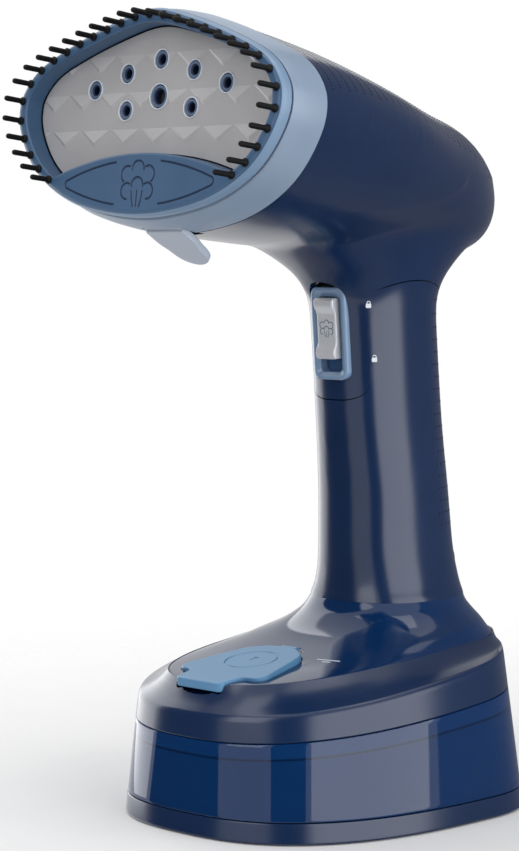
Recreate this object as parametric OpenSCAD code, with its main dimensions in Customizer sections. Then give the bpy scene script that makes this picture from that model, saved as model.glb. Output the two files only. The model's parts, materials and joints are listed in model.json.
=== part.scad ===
// Handheld garment steamer that stands on its own water tank.
// Frame: +Z up, the soleplate faces -Y, mirror symmetric about X = 0,
// origin on the resting surface under the middle of the outline. Millimetres.

/* [Stance] */
// Middle of the water tank, front to back
base_y = 3.3; // [2:0.1:6]
// Gap under the tank that the rubber feet leave
foot_gap = 0.4; // [0.4:0.1:1.2]

/* [Water tank] */
// Half width of the tank at its foot
tank_half_w = 55.4; // [52:0.2:58]
// Reach of the tank ahead of its middle
tank_front = 60.4; // [57:0.2:64]
// Reach of the tank behind its middle
tank_rear = 59.6; // [57:0.2:63]
// Inward lean of the tank's side walls, per unit of height
tank_lean = 0.08; // [0.06:0.01:0.1]
// Height of the opaque band at the foot
foot_band_h = 6.8; // [6:0.2:9]
// Height of the clear window's top edge over the middle
window_h = 34.6; // [30:0.2:38]
// Height of the crease under the shoulder over the middle
crease_h = 44.8; // [42:0.2:48]
// Height of the deck's edge over the middle
deck_h = 49.9; // [48:0.2:52]
// Wall thickness of the tank
tank_wall = 2.2; // [1.8:0.1:2.6]

/* [Handle] */
// Half width of the grip at its waist
grip_half_w = 17.4; // [16:0.1:18]
// Half depth of the grip at its waist
grip_half_d = 20.8; // [19:0.1:22]
// Height at which the handle's flare meets the deck
flare_foot_z = 64.5; // [63:0.5:66]
// Wall thickness of the handle and head shells
shell_wall = 2.2; // [1.8:0.1:2.6]

/* [Head] */
// Front-to-back place of the brush rim's middle
head_y = -70.7; // [-73:0.1:-68]
// Height of the brush rim's middle
head_z = 222.8; // [221:0.2:225]
// Upward tilt of the steam plate, degrees
head_tilt = 6.3; // [4:0.1:8]
// Half width of the brush rim
rim_half_w = 56.8; // [55:0.2:58]
// Reach of the brush rim above its middle
rim_up = 25.5; // [24:0.2:27]
// Reach of the brush rim below its middle
rim_down = 36.4; // [35:0.2:38]
// Depth of the steam plate behind the rim
plate_depth = 6.3; // [5.5:0.1:7]

/* [Brush] */
// Bristles on each side of the one at the top
bristle_pairs = 15; // [10:1:15]
// Free length of a bristle
bristle_len = 7.4; // [6:0.1:8]
// Radius of a bristle
bristle_r = 0.85; // [0.7:0.05:1]

/* [Controls] */
// Height of the middle of the switch bezel
switch_z = 150.3; // [149:0.1:151]
// Length of the switch bezel along the handle
bezel_l = 29.6; // [28:0.2:31]
// Width of the switch bezel
bezel_w = 15.2; // [14:0.2:17]
// Length of the steam button
button_l = 19.4; // [18:0.2:20]
// Width of the steam button
button_w = 9.4; // [8:0.2:10]
// Slide of the button between its locked and free ends
lock_travel = 4; // [3:0.1:4.2]

/* [Filling] */
// Radius of the fill opening
fill_r = 8.1; // [7:0.1:9]
// Thickness of the fill cap
cap_t = 2.6; // [2:0.1:3]
// Half width of the fill cap
cap_half_w = 17.9; // [16:0.1:18.5]

/* [Hidden] */

eps = 0.01;
fit = 0.3;
points_round = 48;

navy = [0.15, 0.19, 0.3];
deep_blue = [0.05, 0.16, 0.38];
mid_blue = [0.27, 0.4, 0.54];
light_blue = [0.52, 0.64, 0.76];
cap_blue = [0.42, 0.61, 0.77];
tank_blue = [0.1, 0.25, 0.6, 0.5];
plate_grey = [0.62, 0.61, 0.59];
metal_grey = [0.7, 0.71, 0.73];
dark_grey = [0.15, 0.15, 0.16];
board_green = [0.1, 0.35, 0.2];
brass = [0.75, 0.6, 0.3];

// ---- Curves and lofts ----

function mix(a, b, t) = a + (b - a) * t;

// One point of a closed curve that passes through the points p
function curve_point(p, i, t) =
    let (n = len(p), a = p[(i + n - 1) % n], b = p[i], c = p[(i + 1) % n], d = p[(i + 2) % n])
    0.5 * (2 * b + (c - a) * t + (2 * a - 5 * b + 4 * c - d) * t * t
        + (3 * b - a - 3 * c + d) * t * t * t);

function closed_curve(p, steps) =
    [for (i = [0 : len(p) - 1], s = [0 : steps - 1]) curve_point(p, i, s / steps)];

// Superellipse ring on a plane that slopes up to the rear: half width a, front reach f,
// rear reach r and widest line m, all measured from the tank's middle
function ring(a, f, r, m, z, slope = 0, n = 2.6, rear_n = 0) =
    [for (i = [0 : points_round - 1])
        let (t = 360 * i / points_round,
            k = rear_n > 0 && sin(t) > 0 ? rear_n : n,
            x = a * sign(cos(t)) * pow(abs(cos(t)), 2 / k),
            d = pow(abs(sin(t)), 2 / k),
            y = sin(t) < 0 ? m - (m - f) * d : m + (r - m) * d)
        [x, base_y + y, z + slope * y]];

// Walls between rings of equal length, with flat ends, or joined end to end if looped
module skin(rings, looped = false) {
    n = len(rings[0]);
    last = len(rings) - 1;
    walls = [for (j = [0 : looped ? last : last - 1], i = [0 : n - 1], half = [0, 1])
        let (k = (i + 1) % n, a = j * n, b = ((j + 1) % (last + 1)) * n)
        half == 0 ? [a + i, b + i, b + k] : [a + i, b + k, a + k]];
    ends = looped ? [] : [[for (i = [0 : n - 1]) i], [for (i = [n - 1 : -1 : 0]) last * n + i]];
    polyhedron(points = [for (r = rings) each r], faces = concat(ends, walls));
}

// Solid through convex rings, one convex piece between each pair
module loft(rings) {
    n = len(rings[0]);
    for (j = [0 : len(rings) - 2])
        hull() polyhedron(points = concat(rings[j], rings[j + 1]),
            faces = [[for (i = [0 : n - 1]) i], [for (i = [n - 1 : -1 : 0]) n + i]]);
}

// Round tube along points that lie in one plane of constant x
module bent_rod(path, r, sides = 8) {
    last = len(path) - 1;
    rings = [for (j = [0 : last])
        let (d = path[min(j + 1, last)] - path[max(j - 1, 0)],
            u = d / norm(d),
            side = [0, -u[2], u[1]])
        [for (i = [0 : sides - 1])
            path[j] + r * (cos(360 * i / sides) * side + sin(360 * i / sides) * [1, 0, 0])]];
    skin(rings);
}

// ---- Frames ----

// Head frame: x across, y up the plate, z out of the plate
module in_head() {
    translate([0, head_y, head_z]) rotate([90 - head_tilt, 0, 0]) children();
}

// Extrusion in the head frame from a front depth to a rear depth
module slab(front, rear) {
    translate([0, 0, -rear]) linear_extrude(rear - front) children();
}

handle_lean = 4.3;
switch_y = base_y + 27.5 - grip_half_d;

// Switch frame: x across, y up the handle, z out of its front
module in_switch() {
    translate([0, switch_y, switch_z]) rotate([90 + handle_lean, 0, 0]) children();
}

// ---- Tank outline ----

front_lean = 0.07;
rear_lean = 0.05;
tank_widest = 21;
tank_square = 2.65;
corner_ease = 0.01;
crease_slope = 0.141;
window_slope = 0.092;
deck_slope = 0.081;

// Ring of the tank wall at height z over the middle, moved in by inset
function tank_ring(z, slope = 0, inset = 0) =
    ring(tank_half_w - tank_lean * z - inset, front_lean * z - tank_front + inset,
        tank_rear - rear_lean * z - inset, tank_widest - z / 10, z, slope, tank_square,
        tank_square - corner_ease * z);

// ---- Base ----

floor_t = 2.2;
base_screw_at = [38, 40];
foot_at = [30, 38];
foot_r = 6;
foot_t = 2;

module bottom_plate() {
    color(navy) difference() {
        skin([tank_ring(foot_gap, 0, 0.5), tank_ring(foot_gap + 0.5),
            tank_ring(foot_band_h), tank_ring(foot_band_h, 0, tank_wall),
            tank_ring(foot_gap + floor_t, 0, tank_wall)]);
        for (x = [-1, 1], y = [-1, 1]) {
            translate([x * foot_at[0], base_y + y * foot_at[1], foot_gap - eps])
                cylinder(r = foot_r + 0.05, h = foot_t - foot_gap + 2 * eps, $fn = 48);
            translate([x * base_screw_at[0], base_y + y * 20, foot_gap - eps]) {
                cylinder(r = 1.6, h = 4, $fn = 32);
                cylinder(r = 3, h = 1.2, $fn = 32);
            }
        }
    }
}

module rubber_feet() {
    color(dark_grey)
    for (x = [-1, 1], y = [-1, 1])
        translate([x * foot_at[0], base_y + y * foot_at[1], 0])
            cylinder(r = foot_r, h = foot_t, $fn = 48);
}

module base_screws() {
    color(metal_grey)
    for (x = [-1, 1], y = [-1, 1])
        translate([x * base_screw_at[0], base_y + y * 20, foot_gap]) {
            difference() {
                cylinder(r = 2.9, h = 1.1, $fn = 32);
                translate([0, 0, -eps]) cylinder(r = 1.2, h = 0.7, $fn = 6);
            }
            cylinder(r = 1.5, h = 4.6, $fn = 32);
        }
}

tank_floor_z = 3.2;

module water_tank() {
    color(tank_blue) difference() {
        skin([tank_ring(tank_floor_z, 0, tank_wall + fit),
            tank_ring(foot_band_h + fit / 2, 0, tank_wall + fit),
            tank_ring(foot_band_h + fit / 2),
            tank_ring(window_h, window_slope),
            tank_ring(window_h, window_slope, tank_wall / 2),
            tank_ring(window_h + 3, window_slope, tank_wall / 2),
            tank_ring(window_h + 3, window_slope, tank_wall),
            tank_ring(foot_band_h + 2, 0, tank_wall),
            tank_ring(tank_floor_z + 2.6, 0, tank_wall + fit + tank_wall)]);
        for (x = [-1, 1], y = [-1, 1])
            translate([x * base_screw_at[0], base_y + y * 20, foot_gap])
                cylinder(r = 1.55, h = 4.8, $fn = 32);
    }
}

seal_t = 1.2;

module tank_seal() {
    color(dark_grey)
    skin([tank_ring(window_h + 3.1, window_slope, tank_wall / 2 + 0.1),
        tank_ring(window_h + 3.1 + seal_t, window_slope, tank_wall / 2 + 0.1),
        tank_ring(window_h + 3.1 + seal_t, window_slope, tank_wall + 0.6),
        tank_ring(window_h + 3.1, window_slope, tank_wall + 0.6)], looped = true);
}

// ---- Shoulder and deck ----

rear_reach = 58;
deck_t = 2.6;
deck_front = 51.3;
deck_half_w = 36.3;

function deck_ring(inset = 0, drop = 0) =
    ring(deck_half_w - inset, inset - deck_front, rear_reach - 1 - inset, 28,
        deck_h - drop, deck_slope, 2.7, 2.4);

module tank_collar() {
    color(navy)
    difference() {
        union() {
            skin([tank_ring(window_h + 0.2, window_slope),
                tank_ring(crease_h, crease_slope),
                deck_ring(), deck_ring(0, 2.4),
                tank_ring(crease_h - 0.8, crease_slope, tank_wall + 1),
                tank_ring(window_h + 4.4, window_slope, tank_wall + 0.4),
                tank_ring(window_h + 4.4, window_slope, tank_wall / 2 - 0.05),
                tank_ring(window_h + 0.2, window_slope, tank_wall / 2 - 0.05)], looped = true);
            scoop_pocket();
        }
        cap_space(fit);
        in_cap() scoop(scoop_r);
    }
}

// Rings of the glossy deck from its edge to the handle's foot, moved in and down
function deck_rings(inset, drop) = [
    deck_ring(inset, drop),
    ring(35 - inset, inset - 35, rear_reach - 1 - inset, 28, 50.7 - drop, 0.09, 2.7),
    ring(32.8 - inset, inset - 18, rear_reach - 0.8 - inset, 29, 52 - drop, 0.125, 2.7),
    ring(28.6 - inset, inset - 1, rear_reach - inset, 30, 54.4 - drop, 0.13, 2.6),
    ring(24.8 - inset, inset + 7.4, rear_reach + 0.4 - inset, 31.6, 59 - drop, 0.08, 2.5),
    ring(22.6 - inset, inset + 10.4, rear_reach - inset, 33.2, flare_foot_z - drop, 0, 2.5)];

module deck_panel() {
    color(deep_blue)
    difference() {
        union() {
            skin(concat(deck_rings(fit / 2, 0), [deck_rings(deck_t, 0)[5]],
                [for (i = [4 : -1 : 0]) deck_rings(deck_t, deck_t)[i]]), looped = true);
            in_cap() translate([0, 0, -5.2]) linear_extrude(4) cap_outline(2.2);
            in_cap() translate([-10.5, -4.8, -9.6]) cube([21, 5, 8.4]);
            in_cap() translate([0, fill_y, -12]) cylinder(r = fill_r + 1.8, h = 8, $fn = 48);
        }
        cap_space(fit);
        in_cap() translate([0, fill_y, -14]) cylinder(r = fill_r, h = 16, $fn = 48);
        in_cap() translate([-7, hinge_y - 3.4, -5]) cube([14, 7, 6]);
    }
}

// ---- Fill cap ----

cap_slope = 8.9;
cap_front_y = -45.3;
cap_front_z = 46.6;
fill_y = 14.4;
hinge_y = 33.6;
hinge_z = -1.5;
tab_half_w = 8.4;
pin_r = 0.9;

// Cap frame: x across, y up the deck's slope, z out of the deck; origin at the tab's root
module in_cap() {
    translate([0, base_y + cap_front_y, cap_front_z]) rotate([cap_slope, 0, 0]) children();
}

function cap_half(g) = [[0, 32 + g], [6, 31 + g], [11, 27.6 + g], [13 + g, 24],
    [cap_half_w + g, 5], [cap_half_w - 1.5 + g, 1.5 - g], [tab_half_w + 1 + g, 1 - g]];

module cap_outline(g = 0) {
    half = cap_half(g);
    polygon(concat(half, [for (i = [len(half) - 1 : -1 : 1]) [-half[i][0], half[i][1]]]));
}

module tab_outline(g = 0) {
    polygon([[-tab_half_w - 1 - g, 1.2], [-tab_half_w - g, -5.2], [1.8 - tab_half_w, -6.4 - g],
        [tab_half_w - 1.8, -6.4 - g], [tab_half_w + g, -5.2], [tab_half_w + 1 + g, 1.2]]);
}

// Room that the cap takes in the deck and the shoulder
module cap_space(g) {
    in_cap() translate([0, 0, -cap_t - g]) linear_extrude(cap_t + 6) {
        cap_outline(g);
        tab_outline(g);
    }
}

scoop_r = 8.6;

module scoop(r) {
    translate([0, -7.6, 1]) sphere(r = r, $fn = 40);
}

// Cup round the finger scoop, closed towards the tank
module scoop_pocket() {
    in_cap() intersection() {
        scoop(scoop_r + 1.6);
        translate([-12, -22, -10]) cube([24, 16, 8.6]);
    }
}

module fill_cap() {
    color(cap_blue) in_cap() difference() {
        union() {
            translate([0, 0, -cap_t]) linear_extrude(cap_t) {
                cap_outline();
                tab_outline();
            }
            translate([-3.2, 0, 0]) rotate([90, 0, 90]) translate([hinge_y, hinge_z, 0])
                cylinder(r = 1.7, h = 6.4, $fn = 32);
            translate([-3.2, 30, -cap_t]) cube([6.4, hinge_y - 30, 1.5]);
        }
        translate([-4, hinge_y, hinge_z]) rotate([0, 90, 0])
            cylinder(r = pin_r + 0.05, h = 8, $fn = 32);
    }
}

module cap_plug() {
    color(dark_grey) in_cap()
        translate([0, fill_y, -cap_t - 5]) cylinder(r1 = 6.4, r2 = fill_r - 0.5, h = 5, $fn = 48);
}

module cap_pin() {
    color(metal_grey) in_cap()
        translate([-6.2, hinge_y, hinge_z]) rotate([0, 90, 0])
            cylinder(r = pin_r, h = 12.4, $fn = 32);
}

module hinge_block() {
    color(deep_blue) in_cap() difference() {
        translate([-6.8, hinge_y - 1.7, -4.8]) cube([13.6, 5.1, 4.6]);
        translate([-3.6, hinge_y - 4, -3.6]) cube([7.2, 8, 5]);
        translate([-8, hinge_y, hinge_z]) rotate([0, 90, 0])
            cylinder(r = pin_r, h = 16, $fn = 32);
    }
}

// ---- Inside the handle's foot ----

tube_y = base_y + 30;
tube_r = 2.5;
plate_z = 60;

module foot_plate() {
    color(navy) difference() {
        skin([for (z = [plate_z, plate_z + 2]) ring(19.6, 13, 54.2, 33.4, z, 0, 2.4)]);
        translate([0, tube_y, plate_z - 1]) cylinder(r = tube_r + 1.5, h = 4, $fn = 48);
    }
}

module tube_grommet() {
    color(dark_grey) translate([0, tube_y, plate_z - 1]) difference() {
        union() {
            cylinder(r = tube_r + 1.5, h = 4, $fn = 48);
            translate([0, 0, 3]) cylinder(r = tube_r + 2.6, h = 1, $fn = 48);
            cylinder(r = tube_r + 2.6, h = 1, $fn = 48);
        }
        translate([0, 0, -1]) cylinder(r = tube_r, h = 6, $fn = 48);
    }
}

module suction_tube() {
    color("white") translate([0, tube_y, 10]) difference() {
        cylinder(r = tube_r, h = pump_foot_z - 10, $fn = 32);
        translate([0, 0, -1]) cylinder(r = 1.5, h = pump_foot_z - 8, $fn = 32);
    }
}

module suction_filter() {
    color("white") translate([0, tube_y, 6]) difference() {
        cylinder(r = 5.5, h = 9, $fn = 48);
        translate([0, 0, 1.2]) cylinder(r = 4.3, h = 2.8, $fn = 48);
        translate([0, 0, 3.9]) cylinder(r = tube_r, h = 6, $fn = 48);
    }
}

// ---- Handle ----

// Handle stations: height, front reach, rear reach, half width
handle_stations = [
    [flare_foot_z, 10.4, rear_reach, 22.6],
    [68, 11.4, rear_reach - 0.4, 21],
    [73, 11.8, rear_reach - 1.3, 19.9],
    [78, 11.4, rear_reach - 2.1, 19.3],
    [85, 11, rear_reach - 3, 19],
    [100, 31.6 - grip_half_d, 32.4 + grip_half_d, 18.4],
    [122, 29.7 - grip_half_d, 30 + grip_half_d, grip_half_w],
    [150, 27.5 - grip_half_d, 27.4 + grip_half_d, grip_half_w],
    [158, 5.8, 47.8, 17.6],
    [163, 4, 48.4, 18],
    [168, -0.5, 50.4, 19],
    [173, -9, 54.4, 20.8],
    [178, -20, 58.4, 22.6],
    [186, -34, 62, 24]];

function handle_ring(i, inset) =
    let (s = handle_stations[i])
    ring(s[3] - inset, s[1] + inset, s[2] - inset, (s[1] + s[2]) / 2, s[0], 0, 2.5);

module handle_solid(first = 0, grow = 0) {
    loft([for (i = [first : len(handle_stations) - 1]) handle_ring(i, -grow)]);
}

// Space inside the handle, open at its lower end
module handle_room(first = 0, wall = shell_wall) {
    lowest = handle_ring(first, wall);
    loft(concat([[for (p = lowest) p - [0, 0, 1]]],
        [for (i = [first : len(handle_stations) - 1]) handle_ring(i, wall)]));
}

arch_z = 167;
arch_r = 42;
arch_y = base_y + 27;
panel_half_w = 12.4;
panel_foot_z = 131;

// Part of the handle that belongs to the head's shell: all above an arched seam,
// and a front strip that carries the switch
module upper_zone(gap) {
    translate([-60, 0, 0]) rotate([90, 0, 90]) linear_extrude(120)
        polygon(concat([[-90, 270], [-90, arch_z - 5]],
            [for (d = [-27 : 3 : 27]) [arch_y + d, arch_z - d * d / (2 * arch_r) + gap]],
            [[110, arch_z - 9 + gap], [110, 270]]));
    translate([0, arch_y - 4, 0]) rotate([90, 0, 0]) linear_extrude(90)
        polygon([[gap - panel_half_w, 200], [gap - panel_half_w, panel_foot_z + 4.4],
            [-8, panel_foot_z + 1 + gap], [0, panel_foot_z + gap], [8, panel_foot_z + 1 + gap],
            [panel_half_w - gap, panel_foot_z + 4.4], [panel_half_w - gap, 200]]);
}

gland_z = 74;
gland_r = 6.4;

module grip_shell() {
    color(navy) difference() {
        handle_solid();
        handle_room();
        upper_zone(-0.15);
        translate([0, base_y + 70, gland_z]) rotate([90, 0, 0])
            cylinder(r = gland_r, h = 30, $fn = 48);
    }
}

// ---- Head ----

// House-shaped outline with a rounded roof: half of it, as shares of its reaches
house = [[0, 1], [0.28, 0.875], [0.634, 0.604], [0.88, 0.33], [1, -0.05], [0.95, -0.37],
    [0.775, -0.68], [0.458, -0.907], [0, -1]];

function blend_point(i, oval) = mix(house[i], [sin(22.5 * i), cos(22.5 * i)], oval);

// Head section in the head frame at a depth behind the rim
function head_section(depth, oval, half_w, middle, up, down) =
    let (half = [for (i = [0 : 8]) blend_point(i, oval)],
        all = concat(half, [for (i = [7 : -1 : 1]) [-half[i][0], half[i][1]]]))
    [for (p = closed_curve(all, 3))
        [p[0] * half_w, middle + p[1] * (p[1] > 0 ? up : down), -depth]];

// Head stations: depth, share of oval, half width, middle, reach up, reach down
collar_rear = 18;
head_stations = [
    [collar_rear, 0, 57.2, 0, 26.4, 39.6],
    [40, 0.2, 54, 0, 23.6, 39.6],
    [71, 0.55, 47.5, -3, 20.3, 35.5],
    [100, 0.9, 38.5, -9, 21.4, 25.5],
    [121, 1, 31, -12, 21.6, 21],
    [136, 1, 23.5, -14.6, 18.6, 18.6],
    [146, 1, 16, -16.6, 13.6, 14.4],
    [152, 1, 9, -17.6, 8.4, 9],
    [154.2, 1, 2.5, -17.8, 2.4, 2.6]];

function head_ring(i, inset) =
    let (s = head_stations[i], back = i == len(head_stations) - 1 ? inset : 0)
    head_section(s[0] - back, s[1], max(s[2] - inset, 1), s[3], max(s[4] - inset, 1),
        max(s[5] - inset, 1));

module head_solid(inset) {
    in_head() loft([for (i = [0 : len(head_stations) - 1]) head_ring(i, inset)]);
}

module outline(half_w, up, down) {
    half = house;
    all = concat(half, [for (i = [7 : -1 : 1]) [-half[i][0], half[i][1]]]);
    polygon([for (p = closed_curve(all, 3)) [p[0] * half_w, p[1] * (p[1] > 0 ? up : down)]]);
}

notch_half_w = 9;
notch_floor = -38.4;
notch_reach = 2.6;

// Notch in the rim of the head's shell that the release tab latches into
module latch_notch() {
    in_head() translate([-notch_half_w, notch_floor - 4, -collar_rear - notch_reach])
        cube([2 * notch_half_w, 4, notch_reach + 1]);
}

module head_shell() {
    color(navy) difference() {
        union() {
            head_solid(0);
            intersection() {
                handle_solid(6);
                upper_zone(0);
            }
        }
        head_solid(shell_wall);
        handle_room(6);
        in_head() slab(collar_rear - 5, collar_rear + 0.6) outline(54.6, 24, 37);
        latch_notch();
        in_switch() translate([-bezel_w / 2 - 0.1, -bezel_l / 2 - 0.1, -12])
            cube([bezel_w + 0.2, bezel_l + 0.2, 20]);
    }
}

// ---- Nose, steam plate and boiler ----

module opening_outline(g = 0) {
    difference() {
        outline(52.3 + g, 21 + g, 33 + g);
        translate([0, -17.5 - g - 111]) circle(r = 111, $fn = 180);
    }
}

steam_holes = [[30.2, 2.8, 1.25], [15, 7.2, 1.25], [14.8, -3.8, 1.25]];
top_hole = [0, 11, 1.25];
big_hole = [0, 0, 1.9];

module at_holes() {
    for (side = [-1, 1], h = steam_holes) translate([side * h[0], h[1]]) {
        $r = h[2];
        children();
    }
    for (h = [top_hole, big_hole]) translate([h[0], h[1]]) {
        $r = h[2];
        children();
    }
}

ring_extra = 1.8;
plate_t = 2.5;

module steam_plate() {
    color(plate_grey) in_head() difference() {
        slab(plate_depth, plate_depth + plate_t) opening_outline(0.8);
        translate([0, 0, -plate_depth - plate_t - 1]) linear_extrude(plate_t + 2)
            at_holes() circle(r = $r + ring_extra, $fn = 40);
    }
}

module hole_grommets() {
    color(light_blue) in_head()
        translate([0, 0, -plate_depth - plate_t]) linear_extrude(plate_t + 0.4)
            at_holes() difference() {
                circle(r = $r + ring_extra, $fn = 40);
                circle(r = $r, $fn = 40);
            }
}

nose_front = 6.4;
nose_rear = 20.4;

module nose_ring() {
    color(dark_grey) in_head() difference() {
        slab(nose_front, nose_rear) outline(54.2, 23, 33.8);
        slab(nose_front - 1, plate_depth + plate_t + 0.1) opening_outline(1.1);
        slab(plate_depth, nose_rear + 1) outline(48, 17.5, 20);
    }
}

module plate_gasket() {
    color(dark_grey) in_head()
        slab(plate_depth + plate_t, plate_depth + plate_t + 1.2) difference() {
            outline(47.2, 16.8, 17);
            outline(43.6, 13.6, 12.6);
        }
}

boiler_front = 10.1;
boiler_rear = 32;
element_at = [-9, 10];

module boiler_block() {
    color(metal_grey) in_head() difference() {
        slab(boiler_front, boiler_rear) outline(47.2, 16.8, 17);
        slab(boiler_front - 1, boiler_front + 5) difference() {
            outline(43.6, 13.6, 12.6);
            square([100, 1.2], center = true);
        }
        for (y = element_at) translate([-60, y, -24]) rotate([0, 90, 0])
            cylinder(r = 3.3, h = 120, $fn = 48);
        for (x = [-30, 0, 30]) translate([x, 0, -boiler_rear - 1]) cylinder(r = 1.6, h = 9, $fn = 32);
    }
}

module boiler_cover() {
    color(metal_grey) in_head() difference() {
        slab(boiler_rear, boiler_rear + 2) outline(46, 15.8, 16);
        for (x = [-30, 30]) translate([x, 0, -boiler_rear - 3]) cylinder(r = 1.6, h = 9, $fn = 32);
        translate([0, 0, -boiler_rear - 3]) cylinder(r = 1.6, h = 6, $fn = 32);
    }
}

module boiler_screws() {
    color("silver") in_head()
    for (x = [-30, 30]) translate([x, 0, -boiler_rear - 2]) {
        translate([0, 0, -1.8]) cylinder(r = 3, h = 1.8, $fn = 32);
        cylinder(r = 1.5, h = 9, $fn = 32);
    }
}

module heating_element() {
    color(brass) in_head()
    for (y = element_at) translate([-32, y, -24]) rotate([0, 90, 0]) {
        cylinder(r = 3.2, h = 64, $fn = 48);
        translate([0, 0, -5]) cylinder(r = 1, h = 5, $fn = 24);
    }
}

module thermostat() {
    color("silver") in_head() translate([-16, 0, -boiler_rear - 2]) {
        translate([0, 0, -2]) cylinder(r = 7.5, h = 2, $fn = 48);
        translate([0, 0, -7]) cylinder(r = 6.4, h = 5, $fn = 48);
        for (x = [-4, 4]) translate([x - 1.5, -0.4, -13]) cube([3, 0.8, 6]);
    }
}

module thermal_fuse() {
    color("white") in_head() translate([-26, -11.5, -boiler_rear - 4]) rotate([0, 90, 0]) {
        cylinder(r = 2, h = 16, $fn = 32);
        translate([0, 0, -6]) cylinder(r = 0.5, h = 28, $fn = 24);
    }
}

// ---- Brush attachment ----

frame_t = 4.6;
step_rear = 6;

module brush_frame() {
    color(mid_blue) in_head() difference() {
        union() {
            slab(0, frame_t) outline(rim_half_w, rim_up, rim_down);
            slab(frame_t - eps, step_rear) outline(54, 22.8, 33.6);
        }
        slab(-1, step_rear + 1) opening_outline();
    }
}

// Running length along half of an outline, from its top down
bristle_line = [for (p = closed_curve(concat(house, [for (i = [7 : -1 : 1])
    [-house[i][0], house[i][1]]]), 6)) [p[0] * 54.7, p[1] * (p[1] > 0 ? 23.4 : 33.8)]];

function walk(p, i, left) =
    let (d = norm(p[i + 1] - p[i]))
    left <= d ? mix(p[i], p[i + 1], left / d) : walk(p, i + 1, left - d);

bristle_run = 92;

module brush_bristles() {
    color("black") in_head()
    for (i = [0 : bristle_pairs], side = i == 0 ? [1] : [-1, 1]) {
        at = walk(bristle_line, 0, bristle_run * i / bristle_pairs);
        translate([side * at[0], at[1], -1.5]) {
            cylinder(r = bristle_r, h = bristle_len + 1.5, $fn = 20);
            translate([0, 0, 1.5]) cylinder(r = bristle_r + 0.3, h = 0.7, $fn = 20);
        }
    }
}

tab_slot_half_w = 8.4;
tab_pivot = [-37.3, 13];
tab_droop = -26;
tab_t = 2.4;

module tab_slot() {
    translate([-tab_slot_half_w, -60, -40]) cube([2 * tab_slot_half_w, 25.6, 32.4]);
}

function collar_section(depth, grow) =
    head_section(depth, 0, 56.9 + grow, 0, 25.8 + grow, 37 + 2.6 * grow);

module brush_collar() {
    color(light_blue) in_head() difference() {
        skin([collar_section(4.8, 0), collar_section(9, 0.6), collar_section(collar_rear - 0.3, 1),
            head_section(collar_rear - 0.3, 0, 54.7, 0, 23.5, 34.3),
            head_section(4.8, 0, 54.7, 0, 23.5, 34.3)], looped = true);
        tab_slot();
        translate([-12, tab_pivot[0], -tab_pivot[1]]) rotate([0, 90, 0])
            cylinder(r = 0.8, h = 24, $fn = 32);
    }
}

module release_tab() {
    color(light_blue) in_head() difference() {
        union() {
            translate([-8, tab_pivot[0], -tab_pivot[1]]) rotate([0, 90, 0])
                cylinder(r = 1.7, h = 16, $fn = 32);
            translate([0, tab_pivot[0] - 2.8, -tab_pivot[1]]) rotate([tab_droop - 90, 0, 0])
                linear_extrude(tab_t) tab_shape();
        }
        translate([-12, tab_pivot[0], -tab_pivot[1]]) rotate([0, 90, 0])
            cylinder(r = 0.85, h = 24, $fn = 32);
    }
}

module tab_shape() {
    translate([-8, -1]) square([16, 6.4]);
    polygon([[-8, 5], [8, 5], [6.6, 11.8], [-6.6, 11.8]]);
    translate([0, 11]) circle(r = 6.6, $fn = 48);
}

module tab_pin() {
    color("silver") in_head()
        translate([-11.5, tab_pivot[0], -tab_pivot[1]]) rotate([0, 90, 0])
            cylinder(r = 0.8, h = 23, $fn = 32);
}

// ---- Switch ----

module switch_bezel() {
    color(light_blue) difference() {
        intersection() {
            difference() {
                handle_solid(5, 0.7);
                handle_room(5, 2.6);
            }
            in_switch() translate([-bezel_w / 2, -bezel_l / 2, -12]) cube([bezel_w, bezel_l, 20]);
        }
        in_switch() translate([-button_w / 2 - 0.35, -bezel_l / 2 + 2.4, -12])
            cube([button_w + 0.7, button_l + lock_travel + 0.7, 20]);
    }
}

button_top = bezel_l / 2 - 2.4 - (bezel_l - 4.8 - button_l - lock_travel - 0.7) - 0.35;

module lock_slider() {
    color(dark_grey) in_switch() difference() {
        translate([-button_w / 2, button_top - button_l, -6.9]) cube([button_w, button_l, 1.2]);
        translate([0, button_top - button_l / 2, -8]) cylinder(r = 2, h = 3, $fn = 32);
    }
}

module steam_button() {
    color(metal_grey) in_switch() translate([0, button_top - button_l / 2, 0]) {
        rotate([90, 0, 90]) translate([0, 0, -button_w / 2]) linear_extrude(button_w)
            polygon([[-button_l / 2, -1.6], [button_l / 2, -1.6], [button_l / 2, 1.8],
                [button_l / 2 - 1, 2.4], [button_l / 2 - 3, 2.3], [button_l / 2 - 5.2, 0.9],
                [5.2 - button_l / 2, 0.9], [3 - button_l / 2, 2.3],
                [1 - button_l / 2, 2.4], [-button_l / 2, 1.8]]);
        translate([0, 0, -8.2]) cylinder(r = 1.7, h = 7, $fn = 32);
    }
}

module button_spring() {
    color("silver") in_switch() translate([0, button_top - button_l / 2, -5.6]) difference() {
        cylinder(r = 3.2, h = 3.9, $fn = 32);
        translate([0, 0, -1]) cylinder(r = 2.4, h = 6, $fn = 32);
    }
}

switch_floor = -12.2;

module micro_switch() {
    color("black") in_switch() difference() {
        translate([-4, -12, switch_floor - 6]) cube([8, 20, 6]);
        translate([-3, -8, switch_floor - 3]) cube([6, 13, 4]);
    }
}

module switch_plunger() {
    color("white") in_switch() translate([-2, -7, switch_floor]) cube([4, 11, 3.6]);
}

module switch_board() {
    color(board_green) in_switch() difference() {
        translate([-11, -16, switch_floor - 7.7]) cube([22, 30, 1.6]);
        for (x = [-8, 8]) translate([x, 10, switch_floor - 9]) cylinder(r = 1.2, h = 4, $fn = 24);
    }
}

// ---- Pump and pipes ----

pump_y = base_y + 30.4;
pump_foot_z = 86;

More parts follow.
